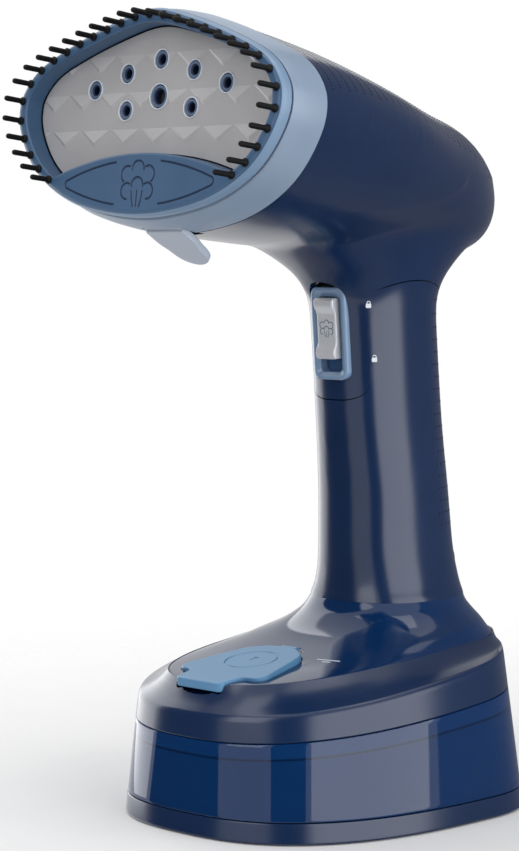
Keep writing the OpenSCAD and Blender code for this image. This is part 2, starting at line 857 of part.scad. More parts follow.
module pump_body() {
    color(dark_grey) translate([0, pump_y, pump_foot_z]) {
        difference() {
            union() {
                cylinder(r = 9, h = 8, $fn = 48);
                cylinder(r = 6, h = 38, $fn = 48);
                translate([0, 0, 32]) cylinder(r = 9, h = 6, $fn = 48);
                translate([0, 0, 38]) cylinder(r = 2.4, h = 5, $fn = 32);
            }
            translate([0, 0, -1]) cylinder(r = 1.5, h = 46, $fn = 32);
        }
    }
}

module pump_coil() {
    color("firebrick") translate([0, pump_y, pump_foot_z + 9]) difference() {
        cylinder(r = 11, h = 22, $fn = 48);
        translate([0, 0, -1]) cylinder(r = 6.1, h = 24, $fn = 48);
    }
}

module pump_mounts() {
    color("black")
    for (z = [pump_foot_z + 1, pump_foot_z + 33]) translate([0, pump_y, z]) difference() {
        cylinder(r = 11.6, h = 4, $fn = 48);
        translate([0, 0, -1]) cylinder(r = 9, h = 6, $fn = 48);
    }
}

module outlet_hose() {
    color("white")
        bent_rod([[0, pump_y, pump_foot_z + 43.5], [0, base_y + 31.4, 136], [0, base_y + 33.4, 146],
            [0, base_y + 33.4, 160], [0, base_y + 30, 172], [0, base_y + 21, 185],
            [0, base_y + 8, 197], [0, base_y - 8, 207], [0, base_y - 24, 214.4],
            [0, head_y + 40.6, head_z - 4.2], [0, head_y + 34.2, head_z - 3.7]], 2);
}

module supply_wires() {
    color("black") for (x = [-8, -5.4]) translate([x, 0, 0])
        bent_rod([[0, base_y + 44, 88], [0, base_y + 44, 116], [0, base_y + 42, 150],
            [0, base_y + 40, 170], [0, base_y + 30, 186], [0, base_y + 14, 200],
            [0, base_y - 6, 211], [0, base_y - 22, 216]], 1);
}

module cord_gland() {
    color(dark_grey) translate([0, base_y + 49.5, gland_z]) rotate([-90, 0, 0]) difference() {
        union() {
            cylinder(r = gland_r - 0.1, h = 9, $fn = 48);
            translate([0, 0, 8.4]) cylinder(r = gland_r + 0.8, h = 2, $fn = 48);
        }
        translate([0, 0, -1]) cylinder(r = 3.3, h = 16, $fn = 48);
    }
}

bottom_plate();
rubber_feet();
base_screws();
water_tank();
tank_seal();
tank_collar();
deck_panel();
hinge_block();
fill_cap();
cap_plug();
cap_pin();
foot_plate();
suction_tube();
suction_filter();
tube_grommet();
grip_shell();
head_shell();
pump_body();
pump_coil();
pump_mounts();
outlet_hose();
switch_board();
micro_switch();
switch_plunger();
switch_bezel();
lock_slider();
steam_button();
button_spring();
cord_gland();
supply_wires();
nose_ring();
steam_plate();
hole_grommets();
plate_gasket();
boiler_block();
boiler_cover();
heating_element();
thermostat();
thermal_fuse();
boiler_screws();
brush_frame();
brush_bristles();
brush_collar();
release_tab();
tab_pin();
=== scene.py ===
# %% [markdown]
# A hand-held garment steamer: a flat water tank as its foot, a leaning handle,
# and a broad head with a steam plate inside a bristle frame. The measured solids are
# already packed as a frame, so this lesson only dresses them. Nearly every piece keeps
# the place and size of the solid it stands for and takes a finer surface and a finish.

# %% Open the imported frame
import json
import math

import bmesh
import bpy
from mathutils import Matrix, Vector

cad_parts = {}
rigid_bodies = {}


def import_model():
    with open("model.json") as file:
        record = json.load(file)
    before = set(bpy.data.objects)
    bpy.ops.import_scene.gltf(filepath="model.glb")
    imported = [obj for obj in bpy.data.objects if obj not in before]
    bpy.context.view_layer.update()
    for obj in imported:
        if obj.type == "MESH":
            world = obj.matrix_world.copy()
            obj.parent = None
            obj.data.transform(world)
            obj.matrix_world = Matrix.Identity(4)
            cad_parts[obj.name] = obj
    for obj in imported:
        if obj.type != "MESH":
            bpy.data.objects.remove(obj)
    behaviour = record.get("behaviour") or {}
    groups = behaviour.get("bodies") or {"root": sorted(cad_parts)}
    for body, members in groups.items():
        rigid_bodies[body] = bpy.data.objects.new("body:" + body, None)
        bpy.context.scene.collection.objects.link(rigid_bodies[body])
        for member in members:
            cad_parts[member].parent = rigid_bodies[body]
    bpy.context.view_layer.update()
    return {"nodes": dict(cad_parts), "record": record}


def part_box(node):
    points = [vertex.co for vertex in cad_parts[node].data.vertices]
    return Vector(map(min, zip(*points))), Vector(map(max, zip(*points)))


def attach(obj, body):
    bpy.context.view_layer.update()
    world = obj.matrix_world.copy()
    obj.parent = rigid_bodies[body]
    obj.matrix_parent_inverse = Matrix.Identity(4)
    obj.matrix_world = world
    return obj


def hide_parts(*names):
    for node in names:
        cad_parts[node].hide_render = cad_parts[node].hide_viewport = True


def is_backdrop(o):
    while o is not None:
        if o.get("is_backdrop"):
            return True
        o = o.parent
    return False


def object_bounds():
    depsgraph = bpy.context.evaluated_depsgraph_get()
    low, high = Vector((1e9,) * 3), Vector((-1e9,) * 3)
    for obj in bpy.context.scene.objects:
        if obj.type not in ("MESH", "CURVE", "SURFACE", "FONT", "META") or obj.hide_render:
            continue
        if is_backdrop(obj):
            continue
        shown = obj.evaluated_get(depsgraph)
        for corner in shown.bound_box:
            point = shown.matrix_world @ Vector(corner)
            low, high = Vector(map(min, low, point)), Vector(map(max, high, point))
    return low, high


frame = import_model()
MM = 0.001

# %% [markdown]
# The steamer has three small coordinate systems of its own: the head's face tips back
# a little, the filler cap lies on the sloping deck, and the switch follows the leaning
# handle. They could be typed in as numbers, but reading them from the joints keeps the
# dressing on the mechanism, because each joint's axis is the direction a piece moves.

# %% Find the head, the cap and the switch
joints = {joint["name"]: joint for joint in frame["record"]["behaviour"]["joints"]}
feet_low, feet_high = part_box("rubber_feet")
middle_y = (feet_low[1] + feet_high[1]) / 2 / MM
rim_half_w, rim_up, rim_down = 56.8, 25.5, 36.4


def own_frame(origin, up, out):
    """From a piece's own millimetres (x across, y up, z out) to metres in the frame."""
    turn = Matrix((up.cross(out), up, out)).transposed().to_4x4()
    return Matrix.Translation(origin * MM) @ turn @ Matrix.Scale(MM, 4)


pull = Vector(joints["brush_pull"]["axis"]).normalized()
head_up = Vector((0, pull.z, -pull.y))
rim_low, rim_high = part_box("brush_frame")
head_origin = Vector((0, rim_low[1] / MM + rim_down * pull.z, rim_high[2] / MM + rim_up * pull.y))
head_frame = own_frame(head_origin, head_up, pull)

cap_tilt = math.radians(8.9)
hinge_y, hinge_z = 33.6, -1.5
cap_up = Vector((0, math.cos(cap_tilt), math.sin(cap_tilt)))
cap_out = Vector((0, -cap_up.z, cap_up.y))
hinge_at = Vector(joints["cap_hinge"]["pos_m"]) / MM
cap_origin = hinge_at - hinge_y * cap_up - hinge_z * cap_out
cap_frame = own_frame(cap_origin, cap_up, cap_out)

press = Vector(joints["steam_press"]["axis"]).normalized()
switch_up = Vector((0, -press.z, press.y))
switch_back, switch_z = 6.7, 150.3
switch_frame = own_frame(Vector((0, middle_y + switch_back, switch_z)), switch_up, -press)
tank_frame = Matrix.Scale(MM, 4)
WORLD = Matrix.Identity(4)
Z_TO_X = Matrix.Rotation(math.pi / 2, 4, "Y")
ORIGIN, X, Y, Z = Vector(), Vector((1, 0, 0)), Vector((0, 1, 0)), Vector((0, 0, 1))


def moved(place, x, y, z=0):
    """A frame with its origin moved by its own millimetres."""
    return place @ Matrix.Translation((x, y, z))


print("head origin in mm:", [round(c, 2) for c in head_origin])
print("cap origin in mm:", [round(c, 2) for c in cap_origin])

# %% [markdown]
# Nearly every moulding here is a skin stretched over cross-sections. In Blender that is
# a loft: a circle is pushed onto the first section, its edge is extruded, and the new
# loop is pushed onto the next one. Extruding keeps each point paired with its
# neighbour, so the walls never twist as they can when loose loops are bridged.

# %% Loft through sections


def round_edges(bm, loop):
    """The edges of a closed loop of points."""
    return [bm.edges.get(pair) for pair in zip(loop, loop[1:] + loop[:1])]


def loft(sections, looped=False):
    """A closed skin over sections of equal length, with flat ends or joined end to end."""
    bm = bmesh.new()
    made = bmesh.ops.create_circle(bm, segments=len(sections[0]), radius=1, cap_ends=not looped)
    first = made["verts"]
    for vert, point in zip(first, sections[0]):
        vert.co = point
    loop = first
    for section in sections[1:]:
        grown = bmesh.ops.extrude_edge_only(bm, edges=round_edges(bm, loop))["geom"]
        new = {part for part in grown if isinstance(part, bmesh.types.BMVert)}
        loop = [next(e.other_vert(v) for e in v.link_edges if e.other_vert(v) in new) for v in loop]
        for vert, point in zip(loop, section):
            vert.co = point
    if looped:
        bmesh.ops.bridge_loops(bm, edges=round_edges(bm, first) + round_edges(bm, loop))
    else:
        bmesh.ops.contextual_create(bm, geom=round_edges(bm, loop))
    bmesh.ops.recalc_face_normals(bm, faces=bm.faces)
    return bm


def stack(draw, *rows):
    """Sections in a row, each drawn from its own numbers."""
    return [draw(*row) for row in rows]


def catmull(a, b, c, d, t):
    """A point of the smooth curve that passes through b and c."""
    return [0.5 * (2 * q + (r - p) * t + (2 * p - 5 * q + 4 * r - s) * t * t
                   + (3 * q - p - 3 * r + s) * t ** 3) for p, q, r, s in zip(a, b, c, d)]


def through(rows, steps, closed=False):
    """More rows between the given ones, on a smooth curve through them."""
    n = len(rows)
    at = (lambda i: rows[i % n]) if closed else (lambda i: rows[min(max(i, 0), n - 1)])
    spans = n if closed else n - 1
    fine = [catmull(at(i - 1), at(i), at(i + 1), at(i + 2), k / steps)
            for i in range(spans) for k in range(steps)]
    return fine if closed else fine + [list(rows[-1])]


def between(one, other, t):
    """A section part of the way from one to another."""
    return [Vector(a).lerp(Vector(b), t) for a, b in zip(one, other)]


print("three rows in steps of four become", len(through([[0], [1], [4]], 4)))

# %% [markdown]
# A finished bmesh has to become an object that moves with one body of the mechanism and
# hides the plain solid it replaces. One helper does that for every piece, shades it
# smooth except at real edges, and prints what it made. Another cuts holes with the
# manifold boolean, which is quick and keeps closed shapes closed.


def as_mesh(name, bm):
    mesh = bpy.data.meshes.new(name)
    bm.to_mesh(mesh)
    bm.free()
    return mesh


def as_object(name, bm, place):
    bmesh.ops.transform(bm, matrix=place, verts=bm.verts)
    made = bpy.data.objects.new(name, as_mesh(name, bm))
    bpy.context.scene.collection.objects.link(made)
    return made


def twin(obj, name):
    """A copy of an object, with a mesh of its own."""
    made = obj.copy()
    made.data, made.name = obj.data.copy(), name
    bpy.context.scene.collection.objects.link(made)
    return made


def settle(obj):
    """Makes an object's modifiers part of its mesh."""
    graph = bpy.context.evaluated_depsgraph_get()
    baked = bpy.data.meshes.new_from_object(obj.evaluated_get(graph))
    obj.modifiers.clear()
    old, obj.data = obj.data, baked
    bpy.data.meshes.remove(old)


def carve(obj, tool, operation="DIFFERENCE", spare=False):
    """Cuts a closed tool out of a closed object, or joins it on."""
    change = obj.modifiers.new("carve", "BOOLEAN")
    change.operation, change.solver, change.object = operation, "MANIFOLD", tool
    settle(obj)
    if not spare:
        bpy.data.objects.remove(tool)
    return obj


def cut(obj, bm, place, operation="DIFFERENCE"):
    """Carves with a bmesh that is needed only once."""
    return carve(obj, as_object("tool", bm, place), operation)


def keep(obj, finish, body, *nodes, edge=32, even=True):
    """Gives a piece its finish, its body and the solids it stands for."""
    mesh = obj.data
    mesh.materials.clear()
    mesh.materials.append(finish)
    mesh.shade_smooth()
    mesh.set_sharp_from_angle(angle=math.radians(edge))
    if even:
        flat = obj.modifiers.new("flat", "WEIGHTED_NORMAL")
        flat.keep_sharp = True
        settle(obj)
    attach(obj, body)
    if nodes:
        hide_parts(*nodes)
    print(obj.name, "on", body, len(obj.data.polygons), "faces")


# %% [markdown]
# Some shapes come back again and again: an outline with eased corners, a flat outline
# raised to a thickness, a rod, a box, a ball and a turned ring. Each is drawn in
# millimetres as a bmesh. Small repeated pieces are gathered into one bmesh, so that a
# row of them is still one piece.

# %% Plain shapes


def rounded(points, radius, steps=4):
    """An outline with each corner eased into a short curve."""
    out = []
    corners = [Vector((x, y, 0)) for x, y in points]
    for i, corner in enumerate(corners):
        before, after = corners[i - 1] - corner, corners[(i + 1) % len(corners)] - corner
        start = corner + before.normalized() * min(radius, before.length * 0.45)
        end = corner + after.normalized() * min(radius, after.length * 0.45)
        for k in range(steps + 1):
            t = k / steps
            at = start.lerp(corner, t).lerp(corner.lerp(end, t), t)
            out.append((at.x, at.y))
    return out


def prism(points, low, high):
    """A flat outline raised from one height to another."""
    return loft([[(p[0], p[1], z) for p in points] for z in (low, high)])


def soften(bm, limit, reach):
    """Rounds the edges that turn by more than a limit, in radians."""
    sharp = [e for e in bm.edges if e.calc_face_angle(0) > limit]
    bmesh.ops.bevel(bm, geom=sharp, offset=reach, offset_type="OFFSET", segments=3, profile=0.5,
                    affect="EDGES", material=-1)


def rod(radius, low, high, steps=48):
    """A rod on the z axis, from one height to another."""
    bm = bmesh.new()
    bmesh.ops.create_cone(bm, cap_ends=True, segments=steps, radius1=radius, radius2=radius,
                          depth=high - low, matrix=Matrix.Translation((0, 0, (low + high) / 2)))
    return bm


def box(low, high):
    """A box between two corners."""
    bm = bmesh.new()
    middle = [(a + b) / 2 for a, b in zip(low, high)]
    size = [b - a for a, b in zip(low, high)]
    bmesh.ops.create_cube(bm, size=1, matrix=moved(WORLD, *middle) @ Matrix.Diagonal((*size, 1)))
    return bm


def ball(centre, radii, around_steps, up_steps):
    """An ellipsoid."""
    bm = bmesh.new()
    bmesh.ops.create_uvsphere(bm, u_segments=around_steps, v_segments=up_steps, radius=1,
                              matrix=moved(WORLD, *centre) @ Matrix.Diagonal((*radii, 1)))
    return bm


def turned(profile, steps):
    """A shape turned on the z axis from a profile of (radius, height) points."""
    bm = bmesh.new()
    line = [bm.verts.new((r, 0, z)) for r, z in profile]
    edges = [bm.edges.new(pair) for pair in zip(line, line[1:])]
    bmesh.ops.spin(bm, geom=line + edges, cent=ORIGIN, axis=Z, angle=math.tau, steps=steps,
                   use_merge=True)
    bmesh.ops.remove_doubles(bm, verts=bm.verts, dist=1e-4)
    bmesh.ops.recalc_face_normals(bm, faces=bm.faces)
    return bm


def wire_profile(radius, thick):
    """The profile of a round wire bent into a ring, to be turned."""
    turns = [math.tau * i / 8 for i in range(9)]
    return [(radius + thick * math.cos(a), thick * math.sin(a)) for a in turns]


def stamp(bm, mesh, place):
    """Adds a copy of a small mesh to a bmesh."""
    before = len(bm.verts)
    bm.from_mesh(mesh)
    bm.verts.ensure_lookup_table()
    bmesh.ops.transform(bm, matrix=place, verts=bm.verts[before:])


def gather(parts):
    """One bmesh out of several small ones, each given with its place."""
    bm = bmesh.new()
    for part, place in parts:
        stamp(bm, as_mesh("small", part), place)
    return bm


print("points of an eased square:", len(rounded([(0, 0), (1, 0), (1, 1), (0, 1)], 0.2)))

# %% [markdown]
# The finishes come next. Real mouldings are never one flat colour: pigment drifts a
# little, and a fine spark-eroded grain breaks up the shine. Each finish is a Principled
# shader fed by noise on Object coordinates, so it stays put when a piece moves. Two
# scales are mixed, one for slow drift of colour and one for grain in the surface.

# %% A finish from noise


def tone(red, green, blue):
    """A colour as it is seen on screen, turned into light values."""
    return tuple((c / 255 / 12.92) if c <= 10.3 else ((c / 255 + 0.055) / 1.055) ** 2.4
                 for c in (red, green, blue))


def node(tree, kind, **sockets):
    """A new shader node with some of its sockets set."""
    made = tree.nodes.new("ShaderNode" + kind)
    fill(made, **sockets)
    return made


def fill(shader_node, **sockets):
    for socket, value in sockets.items():
        shader_node.inputs[socket.replace("_", " ")].default_value = value


def wire(tree, *pairs):
    """Joins sockets, each pair given as node and output, node and input."""
    for source, output, target, into in pairs:
        tree.links.new(source.outputs[output], target.inputs[into])


def finish(name, seen, rough, drift=0.05, grain=0.00001, pitch=2200.0, spread=0.04, **extra):
    """A procedural finish: seen colour, roughness, slow drift and fine grain."""
    made = bpy.data.materials.new(name)
    made.use_nodes = True
    tree = made.node_tree
    shader = tree.nodes["Principled BSDF"]
    fill(shader, **extra)
    where = node(tree, "TexCoord")
    slow = node(tree, "TexNoise", Scale=45, Detail=3)
    fine = node(tree, "TexNoise", Scale=pitch, Detail=2)
    colours = node(tree, "ValToRGB")
    for stop, at, share in zip(colours.color_ramp.elements, (0.3, 0.7), (1 - drift, 1 + drift)):
        stop.position = at
        stop.color = (*[min(c * share, 1) for c in tone(*seen)], 1)
    shine = node(tree, "MapRange", To_Min=max(rough - spread, 0.02), To_Max=rough + spread)
    bump = node(tree, "Bump", Distance=grain, Strength=0.6)
    wire(tree, (where, "Object", slow, "Vector"), (where, "Object", fine, "Vector"),
         (slow, "Fac", colours, "Fac"), (colours, "Color", shader, "Base Color"),
         (slow, "Fac", shine, "Value"), (shine, "Result", shader, "Roughness"),
         (fine, "Fac", bump, "Height"), (bump, "Normal", shader, "Normal"))
    return made


print("middle grey as light:", [round(c, 3) for c in tone(128, 128, 128)])

# %% [markdown]
# One line per finish follows: its name, its colour as seen on screen and its roughness.
# Satin, gloss and rubber differ in roughness far more than in colour. Metals take a
# little more drift, and the cast alloy of the boiler the coarsest grain.

# %% The finishes
navy_satin = finish("navy_satin", (16, 38, 72), 0.21, grain=0.000006)
deck_gloss = finish("deck_gloss", (8, 42, 84), 0.09, grain=0.0, spread=0.01)
tank_clear = finish("tank_clear", (12, 58, 112), 0.05, grain=0.0, spread=0.01,
                    Transmission_Weight=0.4, IOR=1.46)
frame_blue = finish("frame_blue", (60, 92, 126), 0.4)
collar_blue = finish("collar_blue", (132, 150, 172), 0.36)
# Painted highlight on the rounded edge of the bristle frame.
edge_highlight_blue = finish("edge_highlight_blue", (116, 142, 170), 0.4)
cap_blue = finish("cap_blue", (84, 134, 174), 0.4)
bezel_blue = finish("bezel_blue", (112, 138, 168), 0.27)
button_silver = finish("button_silver", (196, 198, 203), 0.34, Metallic=0.2)
plate_champagne = finish("plate_champagne", (174, 173, 175), 0.3)
rubber_black = finish("rubber_black", (30, 30, 33), 0.7, pitch=1200.0)
# Black of the bristles, and painted shade for the lens above the switch and the pits.
bristle_black = finish("bristle_black", (6, 6, 8), 0.6, Specular_IOR_Level=0.2)
# Black of the inner liners, and the painted shadow sheet behind the steam plate.
liner_black = finish("liner_black", (28, 32, 42), 0.5)
silicone_white = finish("silicone_white", (214, 214, 210), 0.45)
cast_alloy = finish("cast_alloy", (188, 188, 190), 0.5, drift=0.12, grain=0.00004, pitch=900.0,
                    Metallic=1.0)
steel = finish("steel", (196, 198, 202), 0.28, drift=0.06, Metallic=1.0)
element_brass = finish("element_brass", (196, 164, 96), 0.3, drift=0.08, Metallic=1.0)
coil_red = finish("coil_red", (150, 62, 38), 0.35, drift=0.15)
board_green = finish("board_green", (34, 92, 56), 0.4, drift=0.12)
white_plastic = finish("white_plastic", (206, 208, 210), 0.42)
white_print = finish("white_print", (222, 228, 236), 0.5)
# Painted shade in grooves, engraved lines and the bores of the steam holes.
shade_blue = finish("shade_blue", (24, 38, 70), 0.45)
# Blue-grey of the steam hole lands, and painted shade in the button's engraved sign.
land_and_shade_blue = finish("land_and_shade_blue", (84, 104, 132), 0.4)
recess_blue = finish("recess_blue", (44, 82, 124), 0.4)
tab_blue = finish("tab_blue", (172, 182, 196), 0.34)
lip_blue = finish("lip_blue", (218, 226, 236), 0.35)
print("finishes:", len(bpy.data.materials))

# %% [markdown]
# Two finishes change over a piece, with painted light. The tank's wall gets painted shade by
# height: a dark line where the lip tucks up inside the shoulder, a little darker below it.
# The steam plate's raised scales get a painted highlight on the sides that face up, paled by
# slope. Both measure a coordinate along a direction and multiply the colour by what it gives.

# %% Painted shade by height and painted highlight by slope


def measured(tree, source, direction, ends, shares=(0, 1)):
    """A node whose value grows along a direction, between two ends."""
    along = node(tree, "VectorMath")
    along.operation = "DOT_PRODUCT"
    along.inputs[1].default_value = direction
    level = node(tree, "MapRange", From_Min=ends[0], From_Max=ends[1],
                 To_Min=shares[0], To_Max=shares[1])
    wire(tree, (tree.nodes["Texture Coordinate"], source, along, 0),
         (along, "Value", level, "Value"))
    return level


def multiplied(tree, by, output):
    """Multiplies a finish's colour by what another node gives."""
    shader = tree.nodes["Principled BSDF"]
    mixed = node(tree, "Mix")
    mixed.data_type, mixed.blend_type = "RGBA", "MULTIPLY"
    mixed.inputs["Factor"].default_value = 1
    tree.links.new(shader.inputs["Base Color"].links[0].from_socket, mixed.inputs[6])
    wire(tree, (by, output, mixed, 7), (mixed, 2, shader, "Base Color"))


def painted_shade_by_height(tree, tilt, top, stops):
    """Paints shade into a finish by height, along a plane that climbs towards the back."""
    foot = -tilt * middle_y
    level = measured(tree, "Object", (0, -tilt, 1), (foot * MM, (top + foot) * MM))
    ramp = node(tree, "ValToRGB")
    ramp.color_ramp.elements.remove(ramp.color_ramp.elements[1])
    for i, (height, share) in enumerate(stops):
        stop = ramp.color_ramp.elements[0] if i == 0 else ramp.color_ramp.elements.new(1)
        stop.position, stop.color = height / top, (share, share, share, 1)
    wire(tree, (level, "Result", ramp, "Fac"))
    multiplied(tree, ramp, "Color")


def painted_highlight_by_slope(tree, lean, share):
    """Pales the faces of a finish that lean one way: a painted highlight where they face the light.
    """
    multiplied(tree, measured(tree, "Normal", lean, (0.03, 0.18), (1, share)), "Result")


# Painted shade on the tank: a dark line at the hidden lip, and a little darker below it.
painted_shade_by_height(tank_clear.node_tree, 0.082, 40, [(0, 0.9), (29, 0.9), (29.2, 0.4), (29.6, 0.4),
                                         (29.9, 1.0), (40, 1.0)])
# Painted highlight on the plate's scales, on the sides that face up.
painted_highlight_by_slope(plate_champagne.node_tree, head_frame.to_3x3().normalized() @ Y, 1.17)
print("shaded finishes:", tank_clear.name, plate_champagne.name)

# %% [markdown]
# The tank, its shoulder and the deck share one family of outlines: a superellipse, part
# way between an oval and a rectangle, broader at the back than at the front and tilted
# a little more with every step upwards. Drawing such a curve by hand would never stay
# even, so one small function gives the outline at any height.

# %% Outlines of the foot
ROUND = 144


def ring(half_w, front, rear, widest, z, slope, square, rear_square):
    """An outline across the foot: half width, front and rear reach, widest line, height and
    slope, and how square it is at the front and at the rear."""
    points = []
    for i in range(ROUND):
        a = math.tau * i / ROUND
        k = rear_square if math.sin(a) > 0 else square
        x = half_w * math.copysign(abs(math.cos(a)) ** (2 / k), math.cos(a))
        d = abs(math.sin(a)) ** (2 / k)
        y = widest - (widest - front) * d if math.sin(a) < 0 else widest + (rear - widest) * d
        points.append(Vector((x, middle_y + y, z + slope * y)))
    return points


def tank_ring(z, slope=0.0, inset=0.0):
    return ring(55.4 - 0.08 * z - inset, 0.07 * z - 60.4 + inset, 59.6 - 0.05 * z - inset,
                21 - z / 10, z, slope, 2.65 - 0.004 * z, 2.65 - 0.01 * z)


deck_rows = [[37.4, -51.3, 58.6, 28, 49.9, 0.081, 2.7, 2.9],
             [36, -35, 58.4, 28, 50.7, 0.09, 2.7, 2.75],
             [34, -18, 58.2, 29, 52, 0.12, 2.7, 2.45],
             [29.8, -1, 58, 30, 54.4, 0.12, 2.6, 2.4],
             [25.6, 7.4, 57.8, 31.6, 59, 0.07, 2.5, 2.5],
             [23.1, 10.4, 57.6, 33.4, 64.5, 0, 2.5, 2.6]]


def deck_ring(row, inset=0.0, drop=0.0):
    half_w, front, rear, widest, z, slope, square, rear_square = row
    return ring(half_w - inset, front + inset, rear - inset, widest, z - drop, slope, square,
                rear_square)


print("tank outline points:", len(tank_ring(20)))

# %% [markdown]
# The sole of the steamer is an opaque shallow tray with the feet let into its underside.
# A loft up the outside, over the lip and down the inside makes it in one go; rings set
# close together at a lip round it off as a bevel would. Rods then cut the pockets for
# the rubber feet and the screws, so the underside is right as well.

# %% Sole tray
corners = [(x, y) for x in (-1, 1) for y in (-1, 1)]
foot_spot, screw_spot = (30, 38), (38, 20)
tray = as_object("sole_tray", loft(stack(
    tank_ring, (0.4, 0, 0.9), (0.55, 0, 0.35), (0.95, 0, 0.05), (1.6,), (6.3,), (6.65, 0, 0.1),
    (6.8, 0, 0.4), (6.8, 0, 2.2), (2.6, 0, 2.2))), tank_frame)
for x, y in corners:
    for (out, back), radius, top in ((foot_spot, 6.1, 1.95), (screw_spot, 3.05, 1.6),
                                     (screw_spot, 1.6, 4)):
        cut(tray, rod(radius, -2, top), moved(tank_frame, x * out, middle_y + y * back))
keep(tray, navy_satin, "housing", "bottom_plate")

# %% [markdown]
# The tank is a clear blue wall that stands on the tray and tucks a thinner lip up inside
# the shoulder. The wall needs real thickness, because light bends on both its faces.

# %% Water tank
tank_wall, seam_slope = 2.2, 0.092
lip_inset, tray_inset = tank_wall / 2, tank_wall + 0.3
tank = as_object("clear_tank", loft(stack(
    tank_ring, (3.2, 0, tray_inset), (6.95, 0, tray_inset), (6.95, 0, 0.4), (7.1, 0, 0.1),
    (7.5,), (8.2,), (16, seam_slope * 0.3), (25, seam_slope * 0.65), (33.4, seam_slope),
    (34.1, seam_slope), (34.45, seam_slope, 0.12), (34.6, seam_slope, 0.45),
    (34.6, seam_slope, lip_inset), (37.6, seam_slope, lip_inset), (37.6, seam_slope, tank_wall),
    (24, seam_slope * 0.6, tank_wall), (8.8, 0, tank_wall), (5.8, 0, tank_wall + tray_inset))),
    tank_frame)
for x, y in corners:
    cut(tank, rod(1.55, 0.1, 5.1, 32),
        moved(tank_frame, x * screw_spot[0], middle_y + y * screw_spot[1]))
keep(tank, tank_clear, "housing", "water_tank")

# %% [markdown]
# The cap is a rounded shield with a broad tab at its front. Its outline is given by a
# few corners on one side and mirrored, and is used twice: raised a little larger as a
# cutter for the seat, and at its own size for the cap itself. A flat ball makes the
# shallow dish round the seat. Both cutters serve the shoulder and the deck in turn.

# %% Outline of the cap and its seat
cap_top = 0.7
cap_half = [(0, 32), (6, 31), (11, 27.6), (13, 24), (17.9, 5), (16.4, 1.5), (11.2, 1.3),
            (10.2, -4), (9.6, -7.4)]


def cap_outline(grow=0.0):
    """The cap seen from above, grown outwards all round."""
    half = [(x + (grow if x > 0 else 0), y + (grow if y > 3 else -grow)) for x, y in cap_half]
    return half + [(-x, y) for x, y in reversed(half) if x > 0]


seat = as_object("seat", prism(rounded(cap_outline(0.3), 1.6), -2.9, 8), cap_frame)
dish = as_object("dish", ball((0, -6, 2.4), (14, 9, 4.2), 64, 48), cap_frame)
print("cap outline corners:", len(cap_outline()))

# %% [markdown]
# The shoulder is the satin belt above the window. It has a soft crease all round that
# climbs towards the back, then leans in to carry the glossy deck. The crease is a short
# curve through three sections; a bevel would round every other edge too. The seat, the
# dish and a smaller ball for the finger are then cut out of its front.

# %% Shoulder with its crease
crease_slope = 0.141
crease = tank_ring(44.8, crease_slope)
belt = stack(tank_ring, (34.8, seam_slope, 0.5), (34.86, seam_slope, 0.15), (35.1, seam_slope))
deck_edge = deck_ring(deck_rows[0])
low_side, high_side = between(belt[-1], crease, 0.8), between(crease, deck_edge, 0.1)
bend = [between(between(low_side, crease, t), between(crease, high_side, t), t)
        for t in (0, 0.25, 0.5, 0.75, 1)]
lean = [[p - 0.6 * math.sin(math.pi * t) * Z for p in between(high_side, deck_edge, t)]
        for t in (0.25, 0.5, 0.75)]
edge = [deck_ring(deck_rows[0], *step) for step in ((-0.25, 0.02), (0, 0.15), (0, 2.4))]
inside = stack(tank_ring, (44, crease_slope, 3.2), (39, seam_slope, 2.6), (39, seam_slope, 1.05),
               (34.8, seam_slope, 1.05))
shoulder = as_object("shoulder", loft(belt + bend + lean + edge + inside, looped=True),
                     tank_frame)
carve(shoulder, seat, spare=True)
carve(shoulder, dish, spare=True)
cut(shoulder, ball((0, -4.6, -2.6), (9.4, 4.4, 1.7), 48, 32), cap_frame)
keep(shoulder, navy_satin, "housing", "tank_collar")

# %% [markdown]
# The deck is a separate high-gloss moulding that sweeps up from a flat plate into the
# foot of the handle. Six measured sections set its shape, and a smooth curve through
# them gives twenty-five more, because reflections on gloss show every kink between
# sections. Two blocks thicken it under the cap, so that the seat and the place for the
# finger have a floor, and a rod makes the wall of the filling well.

# %% Glossy deck
outer = [deck_ring(deck_rows[0], *step) for step in ((0.15, 2.4), (0.15, 0.4), (0.24, 0.12),
                                                      (0.5, 0))]
outer += [deck_ring(row, 0.5 * max(0, 1 - i / 4) + 0.15 * min(1, i / 4))
          for i, row in enumerate(through(deck_rows, 6)) if i > 0]
inner = [deck_ring(row, 2.6, 2.6 if i < len(deck_rows) - 1 else 0)
         for i, row in reversed(list(enumerate(deck_rows)))]
deck = as_object("glossy_deck", loft(outer + inner, looped=True), tank_frame)
seat_block = [(x, y) for x, y in cap_outline(2.2) if y > -2.5]
finger_block = [(-10.4, -8.2), (10.4, -8.2), (10.4, 1), (-10.4, 1)]
cut(deck, prism(seat_block, -5.2, -1.2), cap_frame, "UNION")
cut(deck, prism(finger_block, -6.5, -4.4), cap_frame, "UNION")
well_y, well_r, well_wall = 14.4, 8.1, 1.8
well_frame = moved(cap_frame, 0, well_y)
cut(deck, rod(well_r + well_wall, -12, -4, 64), well_frame, "UNION")
carve(deck, dish)
carve(deck, seat)
cut(deck, rod(well_r, -14, 2, 64), well_frame)
cut(deck, box((-3.45, hinge_y - 2, -5), (3.45, hinge_y + 2, 1)), cap_frame)
keep(deck, deck_gloss, "housing", "deck_panel")

# %% [markdown]
# Two small ears under the deck hold the cap's pin: a rounded top on a square foot each.

